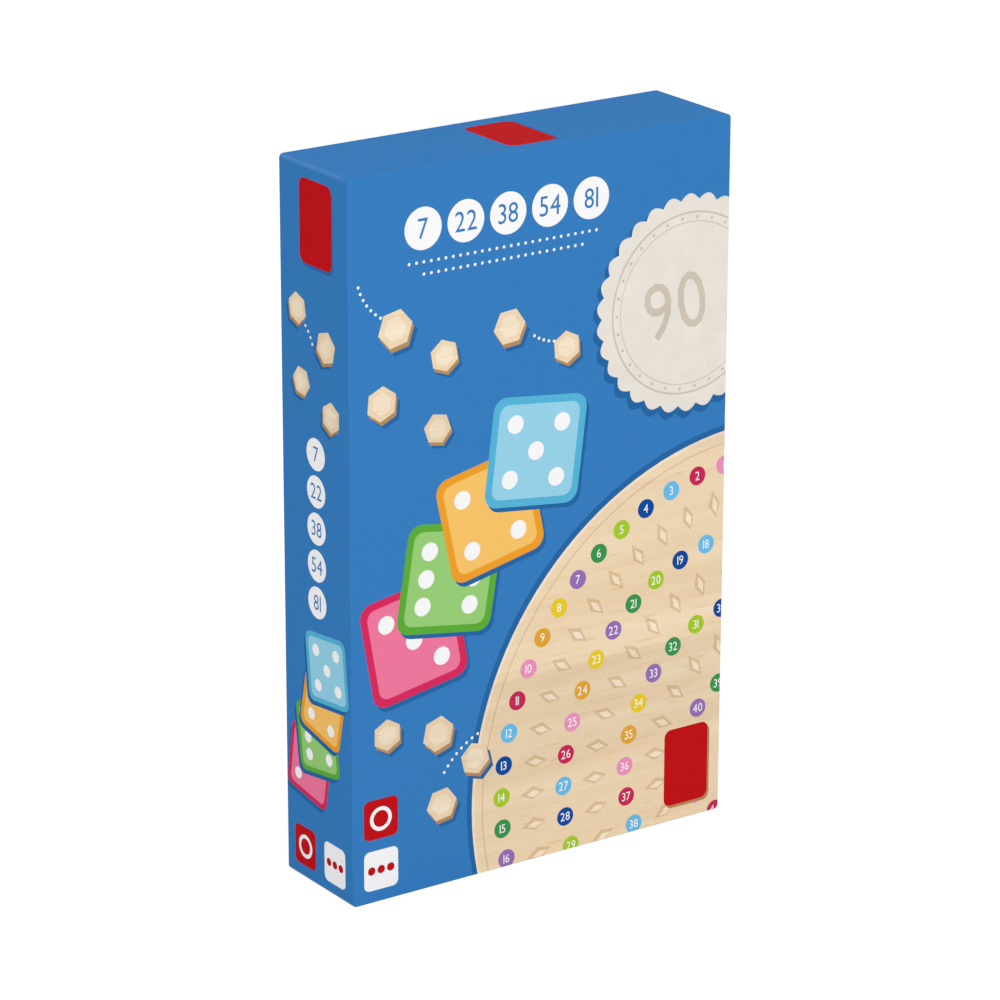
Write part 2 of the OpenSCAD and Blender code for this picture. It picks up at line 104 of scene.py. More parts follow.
DOT_INKS = ["yellow", "gold", "pink", "crimson", "sky", "navy", "lime", "leaf", "lilac"]

# How the material tells a printed picture of wood or of linen from plain ink
WOOD_PRINT = 1.0
LINEN_PRINT = 2.0
PRINT_GRAIN = {
    "wood": WOOD_PRINT, "wood_shade": WOOD_PRINT, "wood_light": WOOD_PRINT,
    "cream": LINEN_PRINT, "cream_shade": LINEN_PRINT,
}

BARE = {
    "board": (186, 178, 162), "board_dark_fleck": (120, 112, 98), "board_pale_fleck": (214, 208, 196),
    "tape": (222, 212, 188), "crease": (206, 200, 190),
    "insert": (236, 234, 228), "leaflet": (246, 246, 244),
    "card_core": (204, 198, 186), "card_core_fleck": (160, 152, 138),
    "hardwood": (240, 218, 183), "hardwood_dark": (196, 156, 106),
    "hinge_steel": (196, 194, 190), "screw_steel": (176, 172, 164),
    "cotton": (235, 229, 218), "cotton_mote": (196, 178, 146), "cord": (242, 238, 228),
}


def linear(rgb):
    """An sRGB colour of 0 to 255 as linear values, on the standard's own curve."""
    shares = [c / 255 for c in rgb]
    return tuple(c / 12.92 if c <= 0.04045 else ((c + 0.055) / 1.055) ** 2.4 for c in shares)


def bare(name):
    return linear(BARE[name])


def placed(name, data):
    """A new object in the scene."""
    item = bpy.data.objects.new(name, data)
    bpy.context.scene.collection.objects.link(item)
    return item


# Camera and stage, in metres

CAMERA_AZIMUTH = math.radians(-34.69)
CAMERA_ELEVATION = math.radians(18.97)
CAMERA_ROLL = math.radians(0.146)
CAMERA_PLACE = (-1.2248, -1.7628, 0.9200)
CAMERA_REACH = 50
SENSOR_W = 36
FOCAL_PX = 4563.7
FRAME_PX = 1000

# Each softbox's place from the middle of the box, its side and its power in watts
SOFTBOXES = {
    "key_softbox": ((-1.02, -2.09, 1.98), 1.8, 45),
    "edge_softbox": ((-0.9, 1.9, 1.6), 0.9, 4),
}
WORLD_LIGHT = 0.6
WORLD_SEEN = 1.0
FLOOR_SIZE = 40
FLOOR_SHADE_SHARE = 0.3
FLOOR_GLOW = 1.22
FLOOR_ALBEDO = 0.85
FLOOR_DROP = 0.0002


def make_camera():
    data = bpy.data.cameras.new("camera")
    data.sensor_width = SENSOR_W
    data.lens = FOCAL_PX / FRAME_PX * SENSOR_W
    data.clip_end = CAMERA_REACH
    camera = placed("camera", data)
    level = math.cos(CAMERA_ELEVATION)
    back = Vector((
        math.sin(CAMERA_AZIMUTH) * level,
        -math.cos(CAMERA_AZIMUTH) * level,
        math.sin(CAMERA_ELEVATION),
    ))
    roll = Matrix.Rotation(CAMERA_ROLL, 3, "Z").to_quaternion()
    camera.rotation_mode = "QUATERNION"
    camera.rotation_quaternion = (-back).to_track_quat("-Z", "Y") @ roll
    camera.location = CAMERA_PLACE
    bpy.context.scene.camera = camera


def make_lights():
    middle = Vector((0, 0, MIDDLE_Z * MM))
    for name, (offset, size, power) in SOFTBOXES.items():
        data = bpy.data.lights.new(name, "AREA")
        data.shape = "SQUARE"
        data.size = size
        data.energy = power
        light = placed(name, data)
        light.location = middle + Vector(offset)
        light.rotation_mode = "QUATERNION"
        light.rotation_quaternion = (middle - light.location).to_track_quat("-Z", "Y")


def seen_ray(tree):
    """1 for a ray that the camera, a mirror or a glass sends, and 0 for the rays of soft light."""
    path = tree.nodes.new("ShaderNodeLightPath")
    total = path.outputs["Is Camera Ray"]
    for name in ("Is Glossy Ray", "Is Transmission Ray"):
        most = tree.nodes.new("ShaderNodeMath")
        most.operation = "MAXIMUM"
        tree.links.new(total, most.inputs[0])
        tree.links.new(path.outputs[name], most.inputs[1])
        total = most.outputs[0]
    return total


def make_world():
    """White where it is seen, and dimmer where it only lights."""
    world = bpy.data.worlds.new("studio")
    bpy.context.scene.world = world
    world.use_nodes = True
    tree = world.node_tree
    background = tree.nodes["Background"]
    background.inputs["Color"].default_value = (1, 1, 1, 1)
    strength = tree.nodes.new("ShaderNodeMapRange")
    strength.inputs["To Min"].default_value = WORLD_LIGHT
    strength.inputs["To Max"].default_value = WORLD_SEEN
    tree.links.new(seen_ray(tree), strength.inputs["Value"])
    tree.links.new(strength.outputs["Result"], background.inputs["Strength"])


def make_floor():
    """A white floor that keeps a faint shadow."""
    material = bpy.data.materials.new("studio_floor")
    material.use_nodes = True
    tree = material.node_tree
    tree.nodes.clear()
    output = tree.nodes.new("ShaderNodeOutputMaterial")
    diffuse = tree.nodes.new("ShaderNodeBsdfDiffuse")
    diffuse.inputs["Color"].default_value = (FLOOR_ALBEDO, FLOOR_ALBEDO, FLOOR_ALBEDO, 1)
    glow = tree.nodes.new("ShaderNodeEmission")
    glow.inputs["Strength"].default_value = FLOOR_GLOW
    share = tree.nodes.new("ShaderNodeMath")
    share.operation = "MULTIPLY"
    share.inputs[1].default_value = 1 - FLOOR_SHADE_SHARE
    tree.links.new(seen_ray(tree), share.inputs[0])
    mix = tree.nodes.new("ShaderNodeMixShader")
    tree.links.new(share.outputs[0], mix.inputs["Fac"])
    tree.links.new(diffuse.outputs[0], mix.inputs[1])
    tree.links.new(glow.outputs[0], mix.inputs[2])
    tree.links.new(mix.outputs[0], output.inputs["Surface"])
    bm = bmesh.new()
    bmesh.ops.create_grid(bm, x_segments=2, y_segments=2, size=FLOOR_SIZE / 2)
    mesh = bpy.data.meshes.new("floor")
    bm.to_mesh(mesh)
    bm.free()
    mesh.materials.append(material)
    floor = placed("floor", mesh)
    floor.location.z = -FLOOR_DROP


# Shader helpers and the groups that several materials share


class Shader:
    """Builds the nodes of one material or group with short calls."""

    def __init__(self, tree):
        self.tree = tree

    def node(self, kind, **settings):
        node = self.tree.nodes.new("ShaderNode" + kind)
        for name, value in settings.items():
            setattr(node, name, value)
        return node

    def feed(self, socket, value):
        if isinstance(value, bpy.types.NodeSocket):
            self.tree.links.new(value, socket)
        elif isinstance(value, (tuple, list)) and len(value) == 3 and socket.type == "RGBA":
            socket.default_value = (*value, 1)
        else:
            socket.default_value = value

    def maths(self, operation, first, second=0.0):
        node = self.node("Math", operation=operation)
        self.feed(node.inputs[0], first)
        self.feed(node.inputs[1], second)
        return node.outputs[0]

    def times(self, first, second):
        return self.maths("MULTIPLY", first, second)

    def plus(self, first, second):
        return self.maths("ADD", first, second)

    def equals(self, value, number):
        """1 where a value is within 0.1 of a number, and 0 elsewhere."""
        same = self.maths("COMPARE", value, number)
        same.node.inputs[2].default_value = 0.1
        return same

    def ramp(self, value, low, high, to_low=0.0, to_high=1.0):
        node = self.node("MapRange")
        given = {"Value": value, "From Min": low, "From Max": high, "To Min": to_low, "To Max": to_high}
        for name, number in given.items():
            self.feed(node.inputs[name], number)
        return node.outputs["Result"]

    def parts(self, vector):
        """A vector's X, Y and Z."""
        node = self.node("SeparateXYZ")
        self.feed(node.inputs[0], vector)
        return node.outputs["X"], node.outputs["Y"], node.outputs["Z"]

    def joined(self, x, y, z):
        node = self.node("CombineXYZ")
        for name, value in zip("XYZ", (x, y, z)):
            self.feed(node.inputs[name], value)
        return node.outputs[0]

    def mix(self, share, first, second, blend="MIX"):
        node = self.node("Mix", data_type="RGBA", blend_type=blend)
        self.feed(node.inputs["Factor"], share)
        self.feed(node.inputs["A"], first)
        self.feed(node.inputs["B"], second)
        return node.outputs["Result"]

    def tinted(self, colour, tone):
        """A colour multiplied by a tone near 1."""
        grey = self.node("CombineColor")
        for name in ("Red", "Green", "Blue"):
            self.feed(grey.inputs[name], tone)
        return self.mix(1.0, colour, grey.outputs[0], "MULTIPLY")

    def place(self, stretch=(1, 1, 1), turn=(0, 0, 0), shift=(0, 0, 0)):
        mapping = self.node("Mapping")
        mapping.inputs["Scale"].default_value = stretch
        mapping.inputs["Rotation"].default_value = turn
        mapping.inputs["Location"].default_value = shift
        self.feed(mapping.inputs["Vector"], self.node("TexCoord").outputs["Object"])
        return mapping.outputs["Vector"]

    def noise(self, vector, scale, detail, roughness, distortion=0.0):
        node = self.node("TexNoise")
        given = {
            "Vector": vector, "Scale": scale, "Detail": detail, "Roughness": roughness,
            "Distortion": distortion,
        }
        for name, value in given.items():
            self.feed(node.inputs[name], value)
        return node.outputs["Fac"]

    def attribute(self, name):
        return self.node("Attribute", attribute_name=name)

    def use(self, group, **values):
        node = self.node("Group", node_tree=group)
        for name, value in values.items():
            self.feed(node.inputs[name.replace("_", " ")], value)
        return node


def make_group(name, inputs, outputs):
    """A node group with named sockets: each is (name, kind) or (name, kind, default)."""
    group = bpy.data.node_groups.new(name, "ShaderNodeTree")
    for way, sockets in (("INPUT", inputs), ("OUTPUT", outputs)):
        for title, kind, *default in sockets:
            socket = group.interface.new_socket(title, in_out=way, socket_type="NodeSocket" + kind)
            if default:
                socket.default_value = default[0]
    given = group.nodes.new("NodeGroupInput").outputs
    out = group.nodes.new("NodeGroupOutput").inputs
    return group, Shader(group), given, out


def fibre_group():
    """Unevenness of paper and board: a tone near 1 and a height, at a given scale."""
    group, s, given, out = make_group(
        "paper_fibre",
        [("Scale", "Float", 900.0), ("Tone", "Float", 0.04)],
        [("Tone", "Float"), ("Height", "Float")],
    )
    place = s.place()
    fine = s.noise(place, given["Scale"], detail=6.0, roughness=0.6)
    broad = s.noise(place, scale=14.0, detail=2.0, roughness=0.5)
    both = s.plus(s.times(fine, 0.6), s.times(broad, 0.4))
    swing = s.times(s.maths("SUBTRACT", both, 0.5), s.times(given["Tone"], 4.0))
    s.feed(out["Tone"], s.plus(swing, 1.0))
    s.feed(out["Height"], fine)
    return group


def grain_group():
    """Light hardwood: growth bands and pore streaks along X, and staves glued side by side along Z."""
    group, s, given, out = make_group(
        "wood_grain",
        [("Vector", "Vector"), ("Base", "Color", (0.8, 0.6, 0.4, 1)),
         ("Dark", "Color", (0.5, 0.3, 0.15, 1)), ("Stave", "Float", 0.035)],
        [("Color", "Color"), ("Height", "Float")],
    )
    along, through, side = s.parts(given["Vector"])
    chance = s.node("TexWhiteNoise", noise_dimensions="1D")
    s.feed(chance.inputs["W"], s.maths("FLOOR", s.maths("DIVIDE", side, given["Stave"])))
    own = chance.outputs["Value"]
    shifted = s.plus(s.times(along, 5.0), s.times(own, 3.0))
    banded = s.joined(shifted, s.times(through, 60.0), s.times(side, 90.0))
    bands = s.noise(banded, scale=2.2, detail=5.0, roughness=0.6, distortion=0.6)
    streaked = s.joined(s.times(along, 90.0), s.times(through, 1600.0), s.times(side, 1600.0))
    pores = s.ramp(s.noise(streaked, scale=1.0, detail=2.0, roughness=0.5), 0.62, 0.74)
    toned = s.mix(s.ramp(bands, 0.3, 0.75, 0.0, 0.42), given["Base"], given["Dark"])
    toned = s.mix(s.times(pores, 0.5), toned, given["Dark"])
    s.feed(out["Color"], s.tinted(toned, s.ramp(own, 0.0, 1.0, 0.94, 1.04)))
    s.feed(out["Height"], s.maths("SUBTRACT", s.times(bands, 0.4), pores))
    return group


def weave_group():
    """Plain weave: threads over and under along two directions, with slubs."""
    group, s, given, out = make_group(
        "plain_weave",
        [("Vector", "Vector"), ("Threads per metre", "Float", 1400.0)],
        [("Height", "Float"), ("Tone", "Float")],
    )
    x, y, z = s.parts(given["Vector"])
    turns = s.times(given["Threads per metre"], math.pi)
    slub = s.times(s.noise(given["Vector"], scale=260.0, detail=3.0, roughness=0.6), 2.4)
    weft = s.maths("SINE", s.plus(s.times(s.plus(x, y), turns), slub))
    warp = s.maths("SINE", s.plus(s.times(z, turns), slub))
    height = s.times(weft, warp)
    cloudy = s.noise(given["Vector"], scale=90.0, detail=5.0, roughness=0.65)
    s.feed(out["Height"], height)
    s.feed(out["Tone"], s.plus(s.times(height, 0.035), s.ramp(cloudy, 0.3, 0.7, 0.95, 1.03)))
    return group


def start_material(name, roughness, specular, metallic=0.0):
    material = bpy.data.materials.new(name)
    material.use_nodes = True
    body = material.node_tree.nodes["Principled BSDF"]
    body.inputs["Roughness"].default_value = roughness
    body.inputs["Specular IOR Level"].default_value = specular
    body.inputs["Metallic"].default_value = metallic
    return material, Shader(material.node_tree), body


def bumped(s, body, height, depth, strength):
    """Raises the surface by a height. The depth is in millimetres."""
    bump = s.node("Bump")
    bump.inputs["Strength"].default_value = strength
    bump.inputs["Distance"].default_value = depth * MM
    s.feed(bump.inputs["Height"], height)
    s.feed(body.inputs["Normal"], bump.outputs["Normal"])


FIBRE = fibre_group()
GRAIN = grain_group()
WEAVE = weave_group()

# Printed paper

# The painted highlight on the wraps' rounded corner edges fades out towards the lid's front over this depth
HIGHLIGHT_FADE = 9
# The pale colour of the painted highlight
HIGHLIGHT_PALE = (0.9, 0.92, 0.95)
PRINTED_GRAIN_DARK = (0.76, 0.62, 0.44)


def printed_paper():
    """Coated paper whose colours come from the ink on each face, with a painted highlight along the wraps'
    rounded corner edges.
    """
    material, s, body = start_material("printed_paper", roughness=0.45, specular=0.004)
    ink = s.attribute("ink").outputs["Color"]
    kind = s.attribute("ink_grain").outputs["Fac"]
    place = s.place()
    fibre = s.use(FIBRE, Scale=1400.0, Tone=0.012)
    enlarged = s.place((0.6, 0.6, 0.6))
    wood = s.use(GRAIN, Vector=enlarged, Base=(1.0, 1.0, 1.0), Dark=PRINTED_GRAIN_DARK, Stave=0.03)
    linen = s.use(WEAVE, Vector=place, Threads_per_metre=900.0)
    colour = s.mix(s.equals(kind, WOOD_PRINT), ink, s.mix(1.0, ink, wood.outputs["Color"], "MULTIPLY"))
    colour = s.mix(s.equals(kind, LINEN_PRINT), colour, s.tinted(colour, linen.outputs["Tone"]))
    # Painted highlight: a pale colour mixed in at an uneven 3.5 to 5.5 per cent where the bend attribute
    # marks a corner edge, faded out at the lid's front
    highlight_share = s.ramp(s.noise(place, scale=90.0, detail=3.0, roughness=0.5), 0.3, 0.7, 0.035, 0.055)
    near_front = s.ramp(s.parts(place)[1], LID_LOW.y * MM, (LID_LOW.y + HIGHLIGHT_FADE) * MM)
    painted_highlight = s.times(s.times(s.attribute("bend").outputs["Fac"], near_front), highlight_share)
    s.feed(body.inputs["Base Color"], s.tinted(s.mix(painted_highlight, colour, HIGHLIGHT_PALE), fibre.outputs["Tone"]))
    s.feed(body.inputs["Roughness"], s.ramp(fibre.outputs["Height"], 0.3, 0.7, 0.42, 0.5))
    bumped(s, body, fibre.outputs["Height"], depth=0.02, strength=0.35)
    return material


# A printed sheet: flat faces cut along every shape on them, each with its ink

SHEET_T = 0.15
TRIANGLES_INSIDE = 1
SAME_POINT = 1e-5


def signed_area(loop):
    return sum(a[0] * b[1] - b[0] * a[1] for a, b in zip(loop, loop[1:] + loop[:1])) / 2


def cut(polygons):
    """Cuts overlapping flat polygons along each other: points, faces, and each face's polygons in order."""
    points, loops = [], []
    for polygon in polygons:
        polygon = polygon if signed_area(polygon) > 0 else polygon[::-1]
        loops.append(list(range(len(points), len(points) + len(polygon))))
        points += [Vector(p) for p in polygon]
    flat, _, faces, _, _, sources = delaunay_2d_cdt(points, [], loops, TRIANGLES_INSIDE, SAME_POINT, True)
    return flat, faces, [sorted(origins) for origins in sources]


class Sheet:
    """The outer side of a sheet: its points, their normals and their share of painted highlight, and its
    faces' inks.
    """

    def __init__(self):
        self.verts, self.normals, self.bent, self.faces, self.inks = [], [], [], [], []

    def point(self, place, normal, bent=0.0):
        self.verts.append(place)
        self.normals.append(normal)
        self.bent.append(bent)

    def face(self, corners, ink):
        self.faces.append(corners)
        self.inks.append(ink)


def sheet_object(name, sheet, material, thickness=SHEET_T):
    """A closed sheet of paper: its outer side, the same side set in by its thickness, and its cut edges."""
    used = sorted({i for face in sheet.faces for i in face})
    kept = {old: new for new, old in enumerate(used)}
    verts = [sheet.verts[i] for i in used]
    normals = [sheet.normals[i] for i in used]
    count = len(used)
    faces = []
    for face in sheet.faces:
        face = [kept[i] for i in face]
        a, b, c = (verts[i] for i in face[:3])
        outward = sum((normals[i] for i in face), Vector())
        faces.append(face if (b - a).cross(c - a).dot(outward) > 0 else face[::-1])
    edges = dict.fromkeys((a, b) for face in faces for a, b in zip(face, face[1:] + face[:1]))
    inks = sheet.inks + ["white"] * len(faces)
    faces += [[i + count for i in face[::-1]] for face in faces]
    verts += [place - normal * thickness for place, normal in zip(verts, normals)]
    normals += [-normal for normal in normals]
    for a, b in edges:
        if (b, a) in edges:
            continue
        start = len(verts)
        corners = [verts[b], verts[a], verts[a + count], verts[b + count]]
        normal = (corners[1] - corners[0]).cross(corners[2] - corners[0])
        verts += corners
        normals += [normal.normalized() if normal.length else Vector(normals[a])] * 4
        faces.append([start, start + 1, start + 2, start + 3])
        inks.append("white")
    bent = [sheet.bent[i] for i in used]
    return inked_object(name, verts, faces, inks, normals, bent + [0.0] * (len(verts) - count), material)


def inked_object(name, verts, faces, inks, normals, bent, material):
    """A mesh in millimetres. Its faces carry their ink's colour and grain, its points their share of
    painted highlight.
    """
    mesh = bpy.data.meshes.new(name)
    mesh.from_pydata([place * MM for place in verts], [], faces)
    colours = mesh.color_attributes.new("ink", "FLOAT_COLOR", "CORNER")
    grains = mesh.attributes.new("ink_grain", "FLOAT", "FACE")
    values = []
    for face, ink in zip(faces, inks):
        values += [*linear(INKS[ink]), 1.0] * len(face)
    colours.data.foreach_set("color", values)
    grains.data.foreach_set("value", [PRINT_GRAIN.get(ink, 0.0) for ink in inks])
    # Each point's share of painted highlight, in the attribute named bend
    highlights = mesh.attributes.new("bend", "FLOAT", "POINT")
    highlights.data.foreach_set("value", bent)
    mesh.materials.append(material)
    mesh.shade_smooth()
    mesh.normals_split_custom_set_from_vertices([normal.normalized() for normal in normals])
    mesh.update()
    return placed(name, mesh)


# The wrap: one printed sheet, folded over the edges, round the walls, over the rim and turned in

FOLD_R = 0.6
RIM_R = 0.5
CORNER_R = GREYBOARD + PAPER
TURN_IN = 18
FOLD_STEPS = 6
CORNER_STEPS = 10
# Steps of the section before the turned-in run: three turns and the two runs between them
STEPS_TO_TURN_IN = 3 * FOLD_STEPS + 2


def fold_path(half, depth):
    """The section of a folded sheet, from the middle of its face: straight runs and quarter turns."""
    return [
        ("run", half - FOLD_R), ("turn", FOLD_R), ("run", depth - FOLD_R - RIM_R), ("turn", RIM_R),
        ("run", WALL - 2 * RIM_R), ("turn", RIM_R), ("run", TURN_IN - RIM_R),
    ]


def path_length(kind, size):
    return size if kind == "run" else size * math.pi / 2


def follow(path, distance):
    """Where a distance along the section ends: how far across, how deep, and the normal's two parts."""
    across = depth = heading = 0.0
    for kind, size in path:
        step = min(distance, path_length(kind, size))
        if kind == "run":
            across += step * math.cos(heading)
            depth += step * math.sin(heading)
        else:
            turned = heading + step / size
            across += size * (math.sin(turned) - math.sin(heading))
            depth += size * (math.cos(heading) - math.cos(turned))
            heading = turned
        distance -= step
        if distance <= 0:
            break
    return across, depth, math.sin(heading), -math.cos(heading)


def stations(path):
    """The distances at which a folded sheet needs a line of points, after its flat face."""
    found = [path[0][1]]
    for kind, size in path[1:]:
        steps = 1 if kind == "run" else FOLD_STEPS
        found += [found[-1] + path_length(kind, size) * (i + 1) / steps for i in range(steps)]
    return found


def rounded_outline(half_w, half_h, radius, steps):
    """A rectangle with round corners about the origin, anticlockwise."""
    points = []
    for quarter, (x, z) in enumerate(((1, 1), (-1, 1), (-1, -1), (1, -1))):
        for i in range(steps + 1):
            angle = math.pi / 2 * (quarter + i / steps)
            points.append((x * (half_w - radius) + radius * math.cos(angle),
                           z * (half_h - radius) + radius * math.sin(angle)))
    return points


class Wrap(Sheet):
    """A sheet folded round a shallow box. side is -1 where its face looks to -Y, and 1 to +Y."""

    def __init__(self, low, high, face_y, side):
        super().__init__()
        self.half_w, self.half_h = (high.x - low.x) / 2, (high.z - low.z) / 2
        self.face_y, self.side = face_y, side
        depth = high.y - low.y
        self.paths = {"across": fold_path(self.half_w, depth), "up": fold_path(self.half_h, depth)}

    def wall_start(self, half):
        """The flat distance from the middle of the face at which the wall's depth would be 0."""
        return half - FOLD_R + FOLD_R * math.pi / 2 - FOLD_R

    def bend(self, u, v):
        """A flat point of the sheet as a place and a normal in space."""
        if abs(u) > self.half_w - FOLD_R:
            across, depth, out, front = follow(self.paths["across"], abs(u))
            place, normal = (math.copysign(across, u), depth, v), (math.copysign(1, u) * out, front, 0)
        elif abs(v) > self.half_h - FOLD_R:
            across, depth, out, front = follow(self.paths["up"], abs(v))
            place, normal = (u, depth, math.copysign(across, v)), (0, front, math.copysign(1, v) * out)
        else:
            place, normal = (u, 0.0, v), (0, -1, 0)
        return self.to_space(place), Vector((normal[0], -self.side * normal[1], normal[2]))

    def to_space(self, place):
        return Vector((place[0], self.face_y - self.side * place[1], MIDDLE_Z + place[2]))

    def base_faces(self):
        """The sheet's own flat outline as polygons, each with the zone of the box that it covers."""
        flat = rounded_outline(self.half_w - FOLD_R, self.half_h - FOLD_R, CORNER_R - FOLD_R, CORNER_STEPS)
        faces = [("front", flat)]
        for zone, path, sign, other in (
            ("left", "across", -1, self.half_h), ("right", "across", 1, self.half_h),
            ("bottom", "up", -1, self.half_w), ("top", "up", 1, self.half_w),
        ):
            lines = stations(self.paths[path])
            for i, (low, high) in enumerate(zip(lines, lines[1:])):
                reach = other - (CORNER_R if i < STEPS_TO_TURN_IN else WALL)
                near, far = sign * low, sign * high
                corners = [(near, -reach), (far, -reach), (far, reach), (near, reach)]
                if path == "up":
                    corners = [(b, a) for a, b in corners]
                faces.append(("front" if i < FOLD_STEPS else zone, corners))
        return faces

    def add_flat(self, shapes, ground):
        """Cuts the flat sheet along its printed shapes. A shape is (zone, ink, points), later on top."""
        base = self.base_faces()
        flat, faces, sources = cut([face for _, face in base] + [points for _, _, points in shapes])
        start = len(self.verts)
        for point in flat:
            self.point(*self.bend(point.x, point.y))
        for face, origins in zip(faces, sources):
            zones = [base[o][0] for o in origins if o < len(base)]
            if not zones:
                continue
            laid = [shapes[o - len(base)] for o in origins if o >= len(base)]
            inks = [ink for zone, ink, _ in laid if zone in zones]
            self.face([start + i for i in face], inks[-1] if inks else ground)

    def add_corners(self, corner_inks, ground):
        """The four rounded corners, from the face's edge to the rim."""
        path = self.paths["across"]
        rows = [follow(path, distance) for distance in stations(path)]
        rows = [(CORNER_R + across - self.half_w, depth, out, front) for across, depth, out, front in rows]
        rows = [row for row in rows if row[0] >= 0]
        for x in (-1, 1):
            for z in (-1, 1):
                start = len(self.verts)
                centre = (x * (self.half_w - CORNER_R), z * (self.half_h - CORNER_R))
                for i in range(CORNER_STEPS + 1):
                    angle = math.pi / 2 * i / CORNER_STEPS
                    c, s = x * math.cos(angle), z * math.sin(angle)
                    for radius, depth, out, front in rows:
                        place = self.to_space((centre[0] + radius * c, depth, centre[1] + radius * s))
                        normal = Vector((out * c, -self.side * front, out * s))
                        # The painted highlight is strongest halfway round the corner's curve
                        self.point(place, normal, bent=math.sin(2 * angle))
                for i in range(CORNER_STEPS):
                    for j in range(len(rows) - 1):
                        a = start + i * len(rows) + j
                        b = a + len(rows)
                        ink = corner_inks.get((x, z), ground) if j < FOLD_STEPS else ground
                        self.face([a, a + 1, b + 1, b], ink)

    def build(self, name, shapes, ground, corner_inks, material):
        self.add_flat(shapes, ground)
        self.add_corners(corner_inks, ground)
        return sheet_object(name, self, material)


# Flat shapes for the print, in millimetres

TILE_STEPS = 5
LOBE_STEPS = 8
# Sides of round shapes, from the smallest dots to the wheel's rim
SPECK_SIDES = 12
SPOT_SIDES = 24
DOT_SIDES = 28
DISC_SIDES = 32
CUP_DOT_SIDES = 36
SEAL_SIDES = 72
WHEEL_SIDES = 128


def moved(points, place, turn=0.0):
    c, s = math.cos(math.radians(turn)), math.sin(math.radians(turn))
    return [(place[0] + x * c - y * s, place[1] + x * s + y * c) for x, y in points]


def on_circle(centre, radius, angle):
    """A point on a circle, its angle in degrees."""
    a = math.radians(angle)
    return centre[0] + radius * math.cos(a), centre[1] + radius * math.sin(a)


def arc_points(centre, radius, first, last, count):
    return [on_circle(centre, radius, first + (last - first) * i / (count - 1)) for i in range(count)]


def disc(radius, sides=DISC_SIDES):
    angles = [2 * math.pi * i / sides for i in range(sides)]
    return [(radius * math.cos(a), radius * math.sin(a)) for a in angles]


def band(w, h):
    return [(-w / 2, -h / 2), (w / 2, -h / 2), (w / 2, h / 2), (-w / 2, h / 2)]


def tile(w, h, radius):
    return rounded_outline(w / 2, h / 2, radius, TILE_STEPS)


def scalloped(radius, lobes, depth):
    points = []
    for i in range(lobes * LOBE_STEPS):
        a = 2 * math.pi * i / (lobes * LOBE_STEPS)
        reach = radius + depth * abs(math.sin(lobes * a / 2))
        points.append((reach * math.cos(a), reach * math.sin(a)))
    return points


# Printed numbers, from the outlines of Blender's own plain digits

DIGIT_GAP = 0.12
DIGIT_SLIM = 0.9
DIGIT_CURVE_STEPS = 3


def chained(edges):
    """Loops of point numbers, from edges that say which point follows which."""
    after = {a: b for a, b in edges}
    loops, left = [], set(after)
    while left:
        first = i = min(left)
        loop = []
        while i in left:
            left.remove(i)
            loop.append(i)
            i = after.get(i, first)
        loops.append(loop)
    return loops


def digit_loops():
    """The outlines of the ten digits at a height of 1: for each, its width and its loops, holes marked."""
    found = {}
    for digit in "0123456789":
        curve = bpy.data.curves.new("digit", "FONT")
        curve.body = digit
        curve.fill_mode = "NONE"
        curve.resolution_u = DIGIT_CURVE_STEPS
        text = placed("digit", curve)
        bpy.context.view_layer.update()
        mesh = bpy.data.meshes.new_from_object(text.evaluated_get(bpy.context.evaluated_depsgraph_get()))
        chains = chained((edge.vertices[0], edge.vertices[1]) for edge in mesh.edges)
        loops = [[tuple(mesh.vertices[i].co[:2]) for i in chain] for chain in chains]
        xs, ys = zip(*(point for loop in loops for point in loop))
        scale = 1 / (max(ys) - min(ys))
        loops = [[((x - min(xs)) * scale, (y - min(ys)) * scale) for x, y in loop] for loop in loops]
        widest = max(loops, key=lambda loop: abs(signed_area(loop)))
        sign = math.copysign(1, signed_area(widest))
        found[digit] = (max(x for x, _ in widest), [(signed_area(loop) * sign < 0, loop) for loop in loops])
        bpy.data.objects.remove(text)
        bpy.data.curves.remove(curve)
        bpy.data.meshes.remove(mesh)
    return found


DIGITS = digit_loops()


def number_loops(number, height):
    """A number's loops about its own middle: (is a hole, points)."""
    x, loops = 0.0, []
    for digit in str(number):
        width, outlines = DIGITS[digit]
        loops += [(hole, [(x + px * DIGIT_SLIM, py) for px, py in loop]) for hole, loop in outlines]
        x += width * DIGIT_SLIM + DIGIT_GAP
    half = (x - DIGIT_GAP) / 2
    return [
        (hole, [((px - half) * height, (py - 0.5) * height) for px, py in loop])
        for hole, loop in loops
    ]


def number_shapes(value, height, ink, hole_ink=None, place=(0, 0)):
    return [(hole_ink if hole else ink, moved(loop, place)) for hole, loop in number_loops(value, height)]


# The wrap's print

FIGURE_SHARE = 0.95
COUNTER_SHADE = (0.28, -0.42)
COUNTER_SIDE = (0.1, -0.22)
COUNTER_TOP = 0.66
DIE_ROUND = 0.13
DIE_SHADE = (1.6, -2.4)
DIE_FIELD = 0.86
DIE_FIELD_ROUND = 0.09
SPOT_PITCH = 0.25
SPOT_R = 0.085
SPOTS = {
    3: [(-1, 1), (0, 0), (1, -1)],
    4: [(-1, -1), (-1, 1), (1, -1), (1, 1)],
    5: [(-1, -1), (-1, 1), (1, -1), (1, 1), (0, 0)],
    6: [(-1, -1), (-1, 0), (-1, 1), (1, -1), (1, 0), (1, 1)],
}
TRAIL_DOT_R = 0.8
LABEL_H = 42
BADGE_H = 21
BADGE_ROUND = 3.2
RING_T = 2


